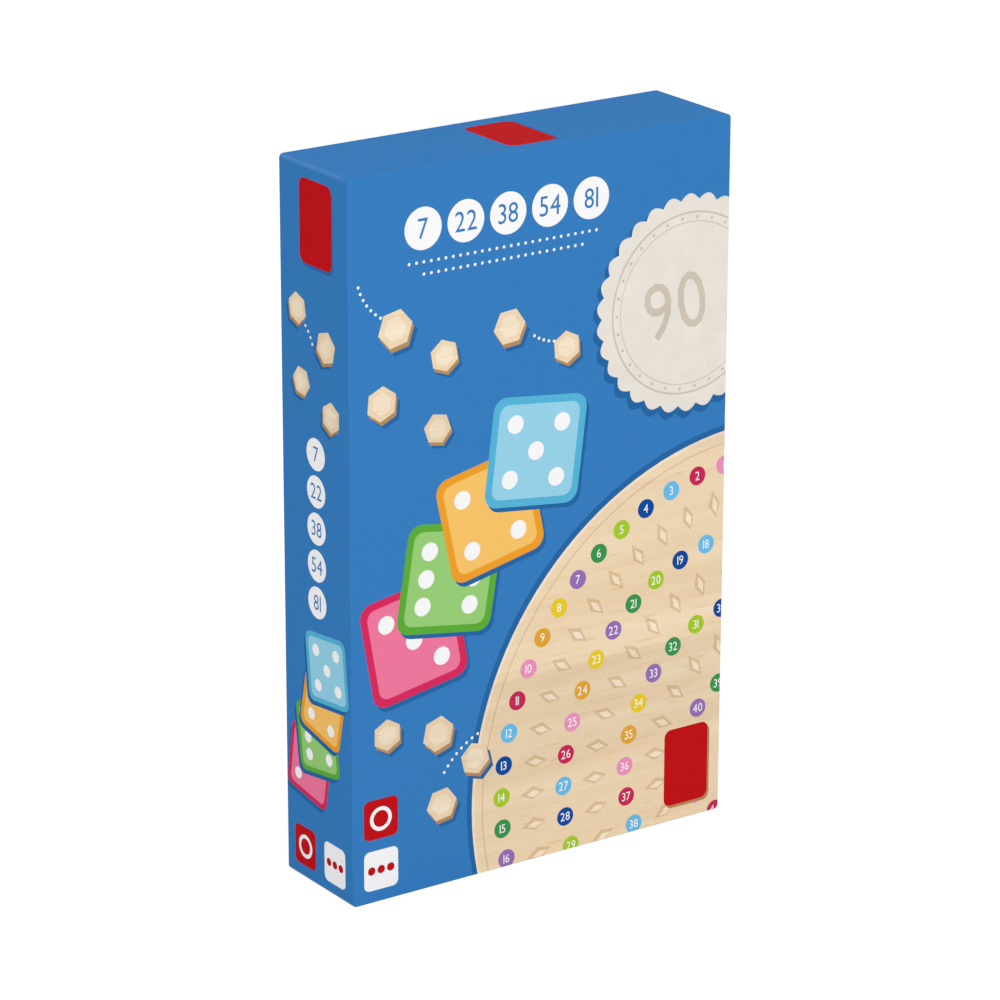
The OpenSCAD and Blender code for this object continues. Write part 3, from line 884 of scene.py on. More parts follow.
class Print:
    """A list of printed shapes for one wrap, in the order in which they cover each other."""

    def __init__(self, wrap):
        self.wrap, self.shapes, self.zone = wrap, [], "front"

    def add(self, ink, points, place=(0, 0), turn=0.0):
        """Lays a shape on the present side of the box. On a wall, depth is measured from the front."""
        points = moved(points, place, turn)
        sign = -1 if self.zone in ("left", "bottom") else 1
        if self.zone in ("left", "right"):
            start = self.wrap.wall_start(self.wrap.half_w)
            points = [(sign * (start + x), y) for x, y in points]
        elif self.zone in ("bottom", "top"):
            start = self.wrap.wall_start(self.wrap.half_h)
            points = [(x, sign * (start + y)) for x, y in points]
        self.shapes.append((self.zone, ink, points))

    def number(self, value, height, place, ink, ground, turn=0.0):
        mirror = -1 if self.zone == "left" else 1
        for hole, loop in number_loops(value, height):
            self.add(ground if hole else ink, [(mirror * x, y) for x, y in loop], place, turn)

    def number_disc(self, value, radius, place):
        self.add("white", disc(radius), place)
        self.number(value, radius * FIGURE_SHARE, place, "blue", "white")

    def counter(self, place, radius, turn):
        """A wooden six-sided counter with its lit top, its darker side and its shadow."""
        hexagon = [on_circle((0, 0), radius, 60 * i) for i in range(6)]
        for ink, (x, y) in (("blue_shade", COUNTER_SHADE), ("wood_dark", COUNTER_SIDE), ("wood", (0, 0))):
            self.add(ink, hexagon, (place[0] + x * radius, place[1] + y * radius), turn)
        self.add("wood_light", [(COUNTER_TOP * x, COUNTER_TOP * y) for x, y in hexagon], place, turn)

    def die(self, colour, spots, place, size, turn):
        """A coloured rounded square with a paler field and white spots."""
        ink = "card_" + colour
        square = tile(size, size, DIE_ROUND * size)
        field = tile(DIE_FIELD * size, DIE_FIELD * size, DIE_FIELD_ROUND * size)
        self.add("blue_shade", square, (place[0] + DIE_SHADE[0], place[1] + DIE_SHADE[1]), turn)
        self.add(ink, square, place, turn)
        self.add(ink + "_pale", field, place, turn)
        for x, y in SPOTS[spots]:
            centre = moved([(SPOT_PITCH * size * x, SPOT_PITCH * size * y)], place, turn)[0]
            self.add("white", disc(SPOT_R * size, SPOT_SIDES), centre)

    def dotted(self, points):
        for point in points:
            self.add("white", disc(TRAIL_DOT_R, SPECK_SIDES), point)

    def label(self, place, width, rounding, shade_ink, shade):
        """A plain red label and the shade behind it."""
        self.add(shade_ink, tile(width, LABEL_H, rounding), (place[0] + shade[0], place[1] + shade[1]))
        self.add("red", tile(width, LABEL_H, rounding), place)

    def badges(self, ringed, spotted, width, ring, spot, pitch):
        """A red badge with a white ring, and a white one with three red spots."""
        self.add("red", tile(width, BADGE_H, BADGE_ROUND), ringed)
        self.add("white", tile(width, BADGE_H, BADGE_ROUND), spotted)
        self.add("white", disc(ring), ringed)
        self.add("red", disc(ring - RING_T), ringed)
        for i in (-1, 0, 1):
            self.add("red", disc(spot), (spotted[0] + pitch * i, spotted[1]))


WHEEL_PLACE = (130, -150)
WHEEL_R = 172
WHEEL_SHADE = 1
# How far inside the wheel's edge each ink of its rim starts
WHEEL_RIM = (("wood_light", 0), ("wood", 1.5), ("wood_shade", 6), ("wood", 6.8))
# Numbers and rhombs take turns on the wheel's rings, all at the same pitch
WHEEL_RINGS = range(154, 39, -19)
WHEEL_PITCH = 17
WHEEL_START = 84
WHEEL_SWEEP = 200
RING_TURN = 1.7
WHEEL_LEFT = -60
PAST_EDGE = 7
WHEEL_DOT_R = 5
WHEEL_FIGURE_H = 4.6
RHOMB = [(7.5, 0), (0, 3.6), (-7.5, 0), (0, -3.6)]
RHOMB_INNER = [(0.62 * x, 0.5 * y) for x, y in RHOMB]
RHOMB_LIT = 0.5
LAST_NUMBER = 90

SEAL_PLACE = (88, 92)
SEAL_SHADE = (-1.5, -2.5)
SEAL_R = 53
SEAL_LOBES = 30
SEAL_LOBE = 3.2
SEAL_RINGS = (("cream_shade", 47), ("cream", 46), ("cream_shade", 42), ("cream", 41.5))
SEAL_BEADS_R = 44
SEAL_BEAD_R = 0.9
SEAL_BEAD_STEP = 12
SEAL_FIGURE_H = 30
SEAL_FIGURE_SHIFT = 8
SEAL_FIGURE_TURN = 9

DRAWN_NUMBERS = (7, 22, 38, 54, 81)
# The row of numbers on the front and the column on a wall: disc radius, first place and pitch
FRONT_DRAWN = (10.6, (-70, 155), (24.5, 0))
WALL_DRAWN = (8.2, (30, 42), (0, -19))
# Straight rows of dots under the numbers: height, first place, count
DOT_ROWS = ((138.5, -78, 27), (132.5, -69.6, 23))
DOT_ROW_PITCH = 4.2
# Loose counters: place, radius and turn
FRONT_COUNTERS = (
    ((-86, 108), 10, 12), ((-58, 90), 8.4, 40), ((-94, 72), 9, 25), ((-20, 98), 9.4, 5),
    ((14, 82), 8.4, 33), ((-62, 54), 8, 50), ((-62, -104), 9.4, 18), ((-40, -122), 8.8, 44),
    ((-92, -98), 8.4, 30), ((-60, -142), 9, 8),
)
WALL_COUNTERS = (((45, 112), 8, 20), ((20, 98), 8.5, 44), ((42, 76), 7.5, 8), ((16, 64), 8, 30))
# Dotted trails of the counters: centre, radius, first and last angle, count
FRONT_TRAILS = (((-78, 140), 30, 196, 237, 7), ((10, 112), 26, 234, 262, 5), ((-22, -150), 44, 112, 146, 8))
WALL_TRAILS = (((52, 88), 22, 130, 156, 4),)
# The fan of dice, from the lowest: colour, spots, place and turn
FRONT_DICE = (
    ("pink", 3, (-76, -52), 10), ("green", 6, (-55, -24), -9),
    ("orange", 4, (-31, 4), 12), ("blue", 5, (-4, 32), -7),
)
WALL_DICE = (
    ("pink", 3, (39, -122), 9), ("green", 6, (31, -106), -8),
    ("orange", 4, (26, -87), 12), ("blue", 5, (22, -67), -6),
)
FRONT_DIE = 56
WALL_DIE = 36
# Red labels: place, width, rounding, and the ink and shift of the shade behind
FRONT_LABEL = ((91, -155.3), 27.6, 4, "wood_dark", (1.2, -1.5))
WALL_LABEL = ((28.1, 157), 28.4, 4.5, "blue_shade", (-1.0, -1.4))
TOP_LABEL = ((0, 29), 28.4, 4.5, "blue_shade", (1.2, -0.6))
# Badges: places of the ringed and the spotted one, width, the ring's radius, the spots' radius and pitch
FRONT_BADGES = ((-96, -141), (-96, -168), 20, 6.4, 2.2, 5.6)
WALL_BADGES = ((43.5, -167.5), (16.5, -168), 19, 6.2, 2.1, 5.4)


def print_wheel(sheet):
    """A large wooden number wheel, cut by the right and the bottom edges."""
    x, z = WHEEL_PLACE
    shade = disc(WHEEL_R + 2 * WHEEL_SHADE, WHEEL_SIDES)
    sheet.add("blue_shade", shade, (x - WHEEL_SHADE, z + WHEEL_SHADE))
    for ink, inset in WHEEL_RIM:
        sheet.add(ink, disc(WHEEL_R - inset, WHEEL_SIDES), WHEEL_PLACE)
    value = 1
    for ring, radius in enumerate(WHEEL_RINGS):
        step = WHEEL_PITCH / radius * 180 / math.pi
        for i in range(int(WHEEL_SWEEP / step)):
            angle = WHEEL_START + ring * RING_TURN + i * step
            x, z = on_circle(WHEEL_PLACE, radius, angle)
            if not (WHEEL_LEFT < x < BOX_W / 2 + PAST_EDGE and -BOX_H / 2 - PAST_EDGE < z):
                continue
            if ring % 2:
                sheet.add("wood_shade", RHOMB, (x, z), angle)
                sheet.add("wood_light", RHOMB_INNER, (x + RHOMB_LIT, z - RHOMB_LIT), angle)
            else:
                ink = DOT_INKS[(i + ring) % len(DOT_INKS)]
                sheet.add(ink, disc(WHEEL_DOT_R, DOT_SIDES), (x, z))
                sheet.number(value, WHEEL_FIGURE_H, (x, z), "white", ink)
                value = value % LAST_NUMBER + 1


def print_seal(sheet):
    """A large cream scalloped seal with a plain number, cut by the right edge."""
    x, z = SEAL_PLACE
    shade_place = (x + SEAL_SHADE[0], z + SEAL_SHADE[1])
    sheet.add("blue_shade", scalloped(SEAL_R + 1, SEAL_LOBES, SEAL_LOBE), shade_place)
    sheet.add("cream", scalloped(SEAL_R, SEAL_LOBES, SEAL_LOBE), SEAL_PLACE)
    for ink, radius in SEAL_RINGS:
        sheet.add(ink, disc(radius, SEAL_SIDES), SEAL_PLACE)
    for angle in range(0, 360, SEAL_BEAD_STEP):
        sheet.add("cream_shade", disc(SEAL_BEAD_R, SPECK_SIDES), on_circle(SEAL_PLACE, SEAL_BEADS_R, angle))
    place = (x - SEAL_FIGURE_SHIFT, z)
    sheet.number(LAST_NUMBER, SEAL_FIGURE_H, place, "cream_shade", "cream", SEAL_FIGURE_TURN)


def print_drawn(sheet, radius, first, pitch):
    for i, value in enumerate(DRAWN_NUMBERS):
        sheet.number_disc(value, radius, (first[0] + pitch[0] * i, first[1] + pitch[1] * i))


def print_counters(sheet, counters, trails):
    for place, radius, turn in counters:
        sheet.counter(place, radius, turn)
    for trail in trails:
        sheet.dotted(arc_points(*trail))


def print_dice(sheet, dice, size):
    for colour, spots, place, turn in dice:
        sheet.die(colour, spots, place, size, turn)


def print_front(sheet):
    sheet.zone = "front"
    print_wheel(sheet)
    print_seal(sheet)
    print_drawn(sheet, *FRONT_DRAWN)
    for z, first, count in DOT_ROWS:
        sheet.dotted([(first + DOT_ROW_PITCH * i, z) for i in range(count)])
    print_counters(sheet, FRONT_COUNTERS, FRONT_TRAILS)
    print_dice(sheet, FRONT_DICE, FRONT_DIE)
    sheet.label(*FRONT_LABEL)
    sheet.badges(*FRONT_BADGES)


def print_wall(sheet, zone):
    """The same design on a side wall, where x is the depth from the front."""
    sheet.zone = zone
    sheet.label(*WALL_LABEL)
    print_counters(sheet, WALL_COUNTERS, WALL_TRAILS)
    print_drawn(sheet, *WALL_DRAWN)
    print_dice(sheet, WALL_DICE, WALL_DIE)
    sheet.badges(*WALL_BADGES)


def print_top(sheet):
    sheet.zone = "top"
    sheet.label(*TOP_LABEL)


def make_wraps(material):
    lid = Wrap(LID_LOW, LID_HIGH, LID_LOW.y, -1)
    sheet = Print(lid)
    print_front(sheet)
    print_wall(sheet, "left")
    print_wall(sheet, "right")
    print_top(sheet)
    right_foot = (1, -1)
    piece = lid.build("lid_printed_wrap", sheet.shapes, "blue", {right_foot: "wood"}, material)
    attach(piece, "lid")
    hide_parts("lid_wrap")
    tray = Wrap(TRAY_LOW, TRAY_HIGH, TRAY_HIGH.y, 1)
    piece = tray.build("tray_paper_wrap", [], "blue", {}, material)
    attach(piece, "tray")
    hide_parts("tray_wrap")


# Thin prints on the pieces inside: each is a layer of ink or paper just proud of its piece

INK_T = 0.03
CARD_PAPER_T = 0.05
BURN_T = 0.02
INK_LIFT = 0.01


class Layer(Sheet):
    """Many small flat prints in one mesh. Each lies at a place, along two directions."""

    def __init__(self, thickness=INK_T):
        super().__init__()
        self.thickness = thickness

    def add(self, shapes, place, across, up):
        """Shapes are (ink, points) in painting order, and an ink of None cuts a hole."""
        out = across.cross(up)
        flat, faces, sources = cut([points for _, points in shapes])
        start = len(self.verts)
        top = Vector(place) + out * (self.thickness + INK_LIFT)
        for point in flat:
            self.point(top + across * point.x + up * point.y, out)
        for face, origins in zip(faces, sources):
            ink = shapes[origins[-1]][0] if origins else None
            if ink:
                self.face([start + i for i in face], ink)

    def build(self, name, material, body, slot):
        piece = sheet_object(name, self, material, self.thickness)
        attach(piece, body)


# The board's printed numbers: tens run across, and the front leaf holds the first five of each

CUP_COLS = 9
CUP_ROWS = 5
CUP_SIDE = 17
CUP_STRIP = 5
DOT_R = 4.7
DOT_DROP = 8.5
DOT_FIGURE_H = 4.4


def board_dots(name, low, high, face_y, up, first, body, material):
    """Coloured number dots under the cups of one leaf. up is where its cups' tops lie."""
    pitch_x = (high.x - low.x - 2 * CUP_SIDE) / (CUP_COLS - 1)
    pitch_z = (high.z - low.z - 2 * CUP_STRIP) / CUP_ROWS
    layer = Layer()
    for row in range(CUP_ROWS):
        for col in range(CUP_COLS):
            from_top = CUP_STRIP + (row + 0.5) * pitch_z + DOT_DROP
            z = high.z - from_top if up.z > 0 else low.z + from_top
            x = low.x + CUP_SIDE + col * pitch_x
            ink = DOT_INKS[col % len(DOT_INKS)]
            figures = number_shapes(first + row + 10 * col, DOT_FIGURE_H, "white", ink)
            layer.add([(ink, disc(DOT_R, CUP_DOT_SIDES))] + figures, Vector((x, face_y, z)), ACROSS, up)
    layer.build(name, material, body, "board_wood")


def make_board_prints(material):
    """The front leaf is folded shut, so that its face looks back and its top row lies lowest."""
    low, high = node_box("board_back_leaf")
    board_dots("board_back_numbers", low, high, low.y, UP, 6, "back_leaf", material)
    low, high = node_box("board_front_leaf")
    board_dots("board_front_numbers", low, high, high.y, -UP, 1, "front_leaf", material)


# The bingo cards: three rows of nine places, five numbers to a row

CARD_SEED = 18
CARD_COLS = 9
CARD_ROWS = 3
ROW_NUMBERS = 5
CARD_MARGIN = 4
CARD_CORNER = 3
FIELD_CORNER = 2
FIELD_GAP = 0.01
CARD_EDGE = 0.05
CELL = 13.6
CELL_CORNER = 3.4
CELL_PITCH_X = 16.6
CELL_PITCH_Z = 22
BLANK_R = 3.2
CARD_FIGURE_H = 7.4


def card_numbers(rng):
    """A grid of numbers, 0 for a blank: each row has five, and each column rises."""
    while True:
        rows = []
        for _ in range(CARD_ROWS):
            chosen = rng.sample(range(CARD_COLS), ROW_NUMBERS)
            rows.append([i in chosen for i in range(CARD_COLS)])
        if all(any(row[i] for row in rows) for i in range(CARD_COLS)):
            break
    grid = [[0] * CARD_COLS for _ in range(CARD_ROWS)]
    for col in range(CARD_COLS):
        low, high = max(1, 10 * col), 10 * col + 9 + (col == CARD_COLS - 1)
        used = [row for row in range(CARD_ROWS) if rows[row][col]]
        for row, value in zip(used, sorted(rng.sample(range(low, high + 1), len(used)))):
            grid[row][col] = value
    return grid


def card_shapes(colour, w, h, grid):
    """A card's print: a darker border, a pale field with stripes, and its numbers and blanks."""
    ink = "card_" + colour
    field = tile(w - 2 * CARD_MARGIN, h - 2 * CARD_MARGIN, FIELD_CORNER)
    shapes = [(ink, tile(w, h, CARD_CORNER)), (ink + "_pale", field)]
    stripe = band(CELL_PITCH_X, h - 2 * (CARD_MARGIN + FIELD_GAP))
    middle = CARD_COLS // 2
    shapes += [
        (ink + "_mid", moved(stripe, ((col - middle) * CELL_PITCH_X, 0)))
        for col in range(1, CARD_COLS, 2)
    ]
    for row in range(CARD_ROWS):
        for col in range(CARD_COLS):
            place = ((col - middle) * CELL_PITCH_X, (1 - row) * CELL_PITCH_Z)
            if grid[row][col]:
                shapes.append(("white", moved(tile(CELL, CELL, CELL_CORNER), place)))
                shapes += number_shapes(grid[row][col], CARD_FIGURE_H, ink + "_deep", "white", place)
            else:
                shapes.append((ink, moved(disc(BLANK_R, DOT_SIDES), place)))
    return shapes


def make_card_prints(material):
    """One printed sheet on the face of every card. A node's levels are card fronts and backs in turn."""
    rng = random.Random(CARD_SEED)
    for colour in CARD_INKS:
        node = "cards_" + colour
        low, high = node_box(node)
        levels = sorted({round(v.co.y / MM, 3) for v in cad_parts[node].data.vertices})
        layer = Layer(CARD_PAPER_T)
        w, h = high.x - low.x - 2 * CARD_EDGE, high.z - low.z - 2 * CARD_EDGE
        for y in levels[::2]:
            shapes = card_shapes(colour, w, h, card_numbers(rng))
            layer.add(shapes, Vector((0, y, (low.z + high.z) / 2)), ACROSS, UP)
        layer.build("printed_faces_" + colour, material, "tray", "card_" + colour)


# The rules leaflet: a heading band with number dots, and plain bars in place of text

HEAD_H = 16
HEAD_FROM_TOP = 14
HEAD_CORNER = 3
LEAFLET_MARGIN = 6
LEAFLET_NUMBERS = (7, 22, 38)
LEAFLET_DOT_R = 5
LEAFLET_DOT_PITCH = 13
LEAFLET_DOT_SIDE = 16
LEAFLET_FIGURE_H = 4.8
BAR_ROWS = 13
BARS_FROM_TOP = 29
BAR_PITCH = 5.6
BAR_T = 1.5
BAR_ROUND = 0.7
BAR_SIDES = 10
BLOCK_BARS = 5


def make_leaflet_print(material):
    low, high = node_box("rules_leaflet")
    w, h = high.x - low.x, high.z - low.z
    head_z = h / 2 - HEAD_FROM_TOP
    shapes = [("blue", moved(tile(w - 2 * LEAFLET_MARGIN, HEAD_H, HEAD_CORNER), (0, head_z)))]
    for i, value in enumerate(LEAFLET_NUMBERS):
        place = (i * LEAFLET_DOT_PITCH - w / 2 + LEAFLET_DOT_SIDE, head_z)
        shapes.append(("white", moved(disc(LEAFLET_DOT_R, DOT_SIDES), place)))
        shapes += number_shapes(value, LEAFLET_FIGURE_H, "blue", "white", place)
    rng = random.Random(CARD_SEED)
    full = w / 2 - BAR_SIDES
    for row in range(BAR_ROWS):
        z = h / 2 - BARS_FROM_TOP - BAR_PITCH * row
        for x in (-w / 4, w / 4):
            last = row % BLOCK_BARS == BLOCK_BARS - 1
            share = rng.uniform(0.45, 0.8) if last else rng.uniform(0.94, 1)
            bar = tile(full * share, BAR_T, BAR_ROUND)
            shapes.append(("bar", moved(bar, (x - full * (1 - share) / 2, z))))
    layer = Layer()
    layer.add(shapes, Vector(((low.x + high.x) / 2, low.y, (low.z + high.z) / 2)), ACROSS, UP)
    layer.build("leaflet_print", material, "tray", "leaflet_paper")


# Numbers burnt into the flats of the balls

BALL_FIGURE_H = 3.0
SAME_PLACE = 1e-7


def islands(mesh):
    """The places of the points of each separate part of a mesh."""
    bm = bmesh.new()
    bm.from_mesh(mesh)
    bmesh.ops.remove_doubles(bm, verts=bm.verts, dist=SAME_PLACE)
    left = set(bm.verts)
    found = []
    while left:
        stack = [left.pop()]
        island = []
        while stack:
            vert = stack.pop()
            island.append(vert.co.copy())
            for edge in vert.link_edges:
                other = edge.other_vert(vert)
                if other in left:
                    left.remove(other)
                    stack.append(other)
        found.append(island)
    bm.free()
    return found


def make_ball_numbers(material):
    """Every ball's own number on its flat, found from the balls' own mesh."""
    places = []
    for island in islands(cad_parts["number_balls"].data):
        xs, ys, zs = zip(*island)
        places.append(((min(xs) + max(xs)) / 2 / MM, (min(ys) + max(ys)) / 2 / MM, max(zs) / MM))
    layer = Layer(BURN_T)
    rng = random.Random(CARD_SEED)
    values = list(range(1, len(places) + 1))
    rng.shuffle(values)
    for value, place in zip(values, sorted(places)):
        turn = math.radians(rng.uniform(-180, 180))
        across = Vector((math.cos(turn), math.sin(turn), 0))
        layer.add(number_shapes(value, BALL_FIGURE_H, "brown"), place, across, UP.cross(across))
    layer.build("ball_numbers", material, "tray", "ball_wood")


# Meshes of cloth and cord


def smoothstep(low, high, value):
    t = max(0.0, min(1.0, (value - low) / (high - low)))
    return t * t * (3 - 2 * t)


def around(items, k):
    """The item before the k-th, the k-th and the two after it, with the end ones repeated."""
    return [items[max(0, min(len(items) - 1, k + j))] for j in (-1, 0, 1, 2)]


def on_curve(a, b, c, d, t):
    """A share t of the way from b to c on a smooth curve through all four, numbers or vectors."""
    return 0.5 * (
        2 * b + (c - a) * t + (2 * a - 5 * b + 4 * c - d) * t * t + (3 * b - a - 3 * c + d) * t ** 3
    )


def skin(verts, faces, rings, closed=False, capped=True):
    """Joins rings of as many points each into a tube, which may close on itself or have flat ends."""
    start, count, sides = len(verts), len(rings), len(rings[0])
    for ring in rings:
        verts += ring
    for i in range(count if closed else count - 1):
        a, b = start + i * sides, start + (i + 1) % count * sides
        faces += [[a + k, a + (k + 1) % sides, b + (k + 1) % sides, b + k] for k in range(sides)]
    if capped:
        faces.append([start + k for k in reversed(range(sides))])
        faces.append([start + (count - 1) * sides + k for k in range(sides)])


def soft_piece(name, verts, faces, material, sharp=None):
    """A piece of cloth or cord that stays in the tray."""
    mesh = bpy.data.meshes.new(name)
    mesh.from_pydata([place * MM for place in verts], [], faces)
    mesh.materials.append(material)
    mesh.shade_smooth()
    if sharp is not None:
        mesh.set_sharp_from_angle(angle=math.radians(sharp))
    mesh.validate()
    piece = placed(name, mesh)
    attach(piece, "tray")
    return piece


# The cotton bag, drawn shut over the balls. Its heights are from its own foot

BAG_LOW, BAG_HIGH = node_box("bag")
BAG_H = BAG_HIGH.z - BAG_LOW.z
BAG_MID = Vector(((BAG_LOW.x + BAG_HIGH.x) / 2, (BAG_LOW.y + BAG_HIGH.y) / 2, BAG_LOW.z))
NECK_Z = 104.2
FRILL_Z = NECK_Z + 1.2
CLOTH_T = 0.8
# Height, half width, half depth and squareness of the bag's sections
BAG_SECTIONS = [
    (0.0, 61.3, 17.1, 4), (2.5, 68.8, 21.5, 5), (7.6, 71.1, 23.0, 5.5), (20.0, 71.1, 23.05, 5.5),
    (42.0, 71.1, 23.05, 5.5), (62.0, 71.0, 23.0, 5.5), (71.5, 66.9, 22.7, 4.5), (79.6, 55.5, 19.8, 3.5),
    (88.9, 34.1, 14.7, 2.6), (99.0, 17.0, 10.3, 2.1), (103.2, 11.6, 8.2, 2), (104.2, 11.4, 8.1, 2),
    (105.4, 11.7, 8.3, 2), (111.2, 16.4, 10.2, 2), (117.5, 21.8, 12.2, 2), (122.0, 24.0, 12.8, 2),
    (124.0, 24.2, 12.9, 2),
]
BAG_UP = 120
BAG_AROUND = 260
OVAL_STEPS = 720

# The balls inside: their pitch along the bag, between layers and between rows
BALL_PITCH = 15.3
BALL_RISE = 19.3
BALL_ROW = 13.25
BALL_BASE = 1.3
BALLS_TOP = BALL_BASE + 4 * BALL_RISE

# Depths of what the balls press into the cloth and of its folds, and how far it may stand proud
BALL_PROUD = 0.4
VALLEY_MIN = 1.2
VALLEY_MORE = 2.0
BODY_PLEATS = 17
BODY_FOLD = 0.9
NECK_FOLD = 2.1
FRILL_PLEATS = 11
FRILL_FOLD = 2.9
FRILL_GATHER = 0.8
FRILL_WAVE = 0.9
CREASE_SIZE = 0.055
PROUD_BELOW = 0.9
PROUD_ABOVE = 0.15
SHOULDER_Z = 60


def smooth_sections():
    """The bag's sections between the listed ones, on a smooth curve that doesn't overshoot them."""
    rows = []
    for i in range(BAG_UP + 1):
        at = i / BAG_UP * (len(BAG_SECTIONS) - 1)
        k = min(int(at), len(BAG_SECTIONS) - 2)
        row = []
        for a, b, c, d in zip(*around(BAG_SECTIONS, k)):
            row.append(min(max(b, c), max(min(b, c), on_curve(a, b, c, d, at - k))))
        rows.append(row)
    return rows


def even_outline(half_w, half_d, squareness):
    """A squarish oval as points an equal way apart from the middle of its right side, and their normals."""
    dense = []
    for i in range(OVAL_STEPS):
        a = 2 * math.pi * i / OVAL_STEPS
        c, s = math.cos(a), math.sin(a)
        r = ((abs(c) / half_w) ** squareness + (abs(s) / half_d) ** squareness) ** (-1 / squareness)
        dense.append(Vector((r * c, r * s)))
    dense.append(dense[0])
    lengths = [0.0]
    for a, b in zip(dense, dense[1:]):
        lengths.append(lengths[-1] + (b - a).length)
    points, k = [], 0
    for i in range(BAG_AROUND):
        goal = lengths[-1] * i / BAG_AROUND
        while lengths[k + 1] < goal:
            k += 1
        points.append(dense[k].lerp(dense[k + 1], (goal - lengths[k]) / (lengths[k + 1] - lengths[k])))
    normals = []
    for i in range(BAG_AROUND):
        along = points[(i + 1) % BAG_AROUND] - points[i - 1]
        normals.append(Vector((along.y, -along.x)).normalized())
    return points, normals


def pleat(share, count, sharpness, drift):
    """A row of uneven folds round the bag: 1 on a crest, 0 in a valley."""
    wander = 0.22 * math.sin(2 * math.pi * (2 * share + drift))
    wander += 0.13 * math.sin(2 * math.pi * (5 * share + 2 * drift))
    return (0.5 + 0.5 * math.cos(2 * math.pi * (count * share + wander))) ** sharpness


def over_balls(x, y, z, side_facing):
    """How far the cloth stands out over the balls. It bridges the valleys between them here and there."""
    body = smoothstep(1, 9, z) * (1 - smoothstep(BALLS_TOP - 6, BALLS_TOP + 1, z))
    layer = (z - BALL_BASE) / BALL_RISE
    off_centre = abs((layer - math.floor(layer)) * 2 - 1)
    high = max(0.0, 1 - off_centre ** 2.6)
    across_face = abs(math.cos(math.pi * (x / BALL_PITCH + 0.5))) ** 0.8
    across_side = abs(math.cos(math.pi * y / (2 * BALL_ROW))) ** 0.7
    near = across_side + (across_face - across_side) * (1 - smoothstep(0.3, 0.8, side_facing))
    slack = smoothstep(-0.3, 0.35, noise.noise(Vector((x, y, z)) * 0.034 + Vector((5, 1, 8))))
    valley = 1 - near * (0.3 + 0.7 * high)
    return body * (BALL_PROUD - (VALLEY_MIN + VALLEY_MORE * slack) * valley)


def creases(x, y, z):
    """Small uneven creases and a few sharper ridges."""
    point = Vector((x, y, z * 1.3)) * CREASE_SIZE
    soft = noise.noise(point) * 1.1 + noise.noise(point * 2.7 + Vector((7, 3, 1))) * 0.6
    ridge = 1 - abs(noise.noise(point * 1.6 + Vector((2, 9, 4)))) * 5
    return soft * 0.5 + 0.45 * max(0.0, ridge)


def bag_offset(x, y, z, share, side_facing):
    """How far the cloth stands out from its plain section: balls, folds and creases."""
    out = over_balls(x, y, z, side_facing)
    fold = smoothstep(BALLS_TOP - 16, NECK_Z - 8, z)
    out -= BODY_FOLD * smoothstep(18, 66, z) * (1 - fold) * (1 - pleat(share, BODY_PLEATS, 1.4, 0.0))
    out += creases(x, y, z) * (1 - smoothstep(NECK_Z - 16, NECK_Z - 4, z))
    gathered = 1 - pleat(share, BODY_PLEATS, 0.8, 0.0)
    if z <= FRILL_Z:
        out -= NECK_FOLD * fold * gathered * (1 - 0.62 * smoothstep(NECK_Z - 7, NECK_Z, z))
        return min(out, PROUD_BELOW if z < SHOULDER_Z else PROUD_ABOVE)
    frill = smoothstep(NECK_Z, BAG_H, z)
    out += FRILL_FOLD * frill * (pleat(share, FRILL_PLEATS, 0.9, 0.3) - 0.6)
    return out - FRILL_GATHER * (1 - frill) * gathered


def bag_ring(height, half_w, half_d, squareness, set_in=0.0):
    """One section of the cloth as points in the frame. The frill's edge waves up and down."""
    rise = FRILL_WAVE * smoothstep(NECK_Z + 8, BAG_H, height)
    ring = []
    for i, (point, normal) in enumerate(zip(*even_outline(half_w, half_d, squareness))):
        share = i / BAG_AROUND
        flat = point + normal * (bag_offset(point.x, point.y, height, share, abs(normal.x)) - set_in)
        lip = rise * (math.cos(2 * math.pi * FRILL_PLEATS * share) - 1)
        ring.append(BAG_MID + Vector((flat.x, flat.y, height + lip)))
    return ring


def make_bag(material):
    """The bag's cloth: up the outside to the frill's edge and down inside it to the closed neck."""
    sections = smooth_sections()
    rings = [bag_ring(*section) for section in sections]
    rings += [bag_ring(*section, CLOTH_T) for section in reversed(sections) if section[0] > NECK_Z - 1]
    verts, faces = [], []
    skin(verts, faces, rings, capped=False)
    for start, ring, turned in ((0, rings[0], True), (len(verts) - BAG_AROUND, rings[-1], False)):
        middle = len(verts)
        verts.append(sum(ring, Vector()) / BAG_AROUND)
        for i in range(BAG_AROUND):
            a, b = start + i, start + (i + 1) % BAG_AROUND
            faces.append([middle, b, a] if turned else [middle, a, b])
    bag = soft_piece("drawstring_bag", verts, faces, material)
    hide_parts("bag")
    make_stitches(sections, material)
    make_side_seams(sections, material)


# Stitches: places of the hem's rows, and the size and lift of one thread
HEM_ROWS = (BAG_H - 3.4, NECK_Z + 4.2)
STITCH_EVERY = 4
STITCH_SPAN = 2
STITCH_R = 0.22
STITCH_RISE = 0.12
STITCH_SINK = 0.05
STITCH_STEPS = 5
STITCH_SIDES = 6


def make_stitches(sections, material):
    """The hem's row of stitches round the frill, and one above the neck."""
    verts, faces = [], []
    for goal in HEM_ROWS:
        section = min(sections, key=lambda row: abs(row[0] - goal))
        ring = bag_ring(*section, -STITCH_SINK)
        middle = BAG_MID + Vector((0, 0, section[0]))
        for i in range(0, BAG_AROUND, STITCH_EVERY):
            skin(verts, faces, stitch(ring[i], ring[(i + STITCH_SPAN) % BAG_AROUND], middle))
    soft_piece("bag_stitches", verts, faces, material)


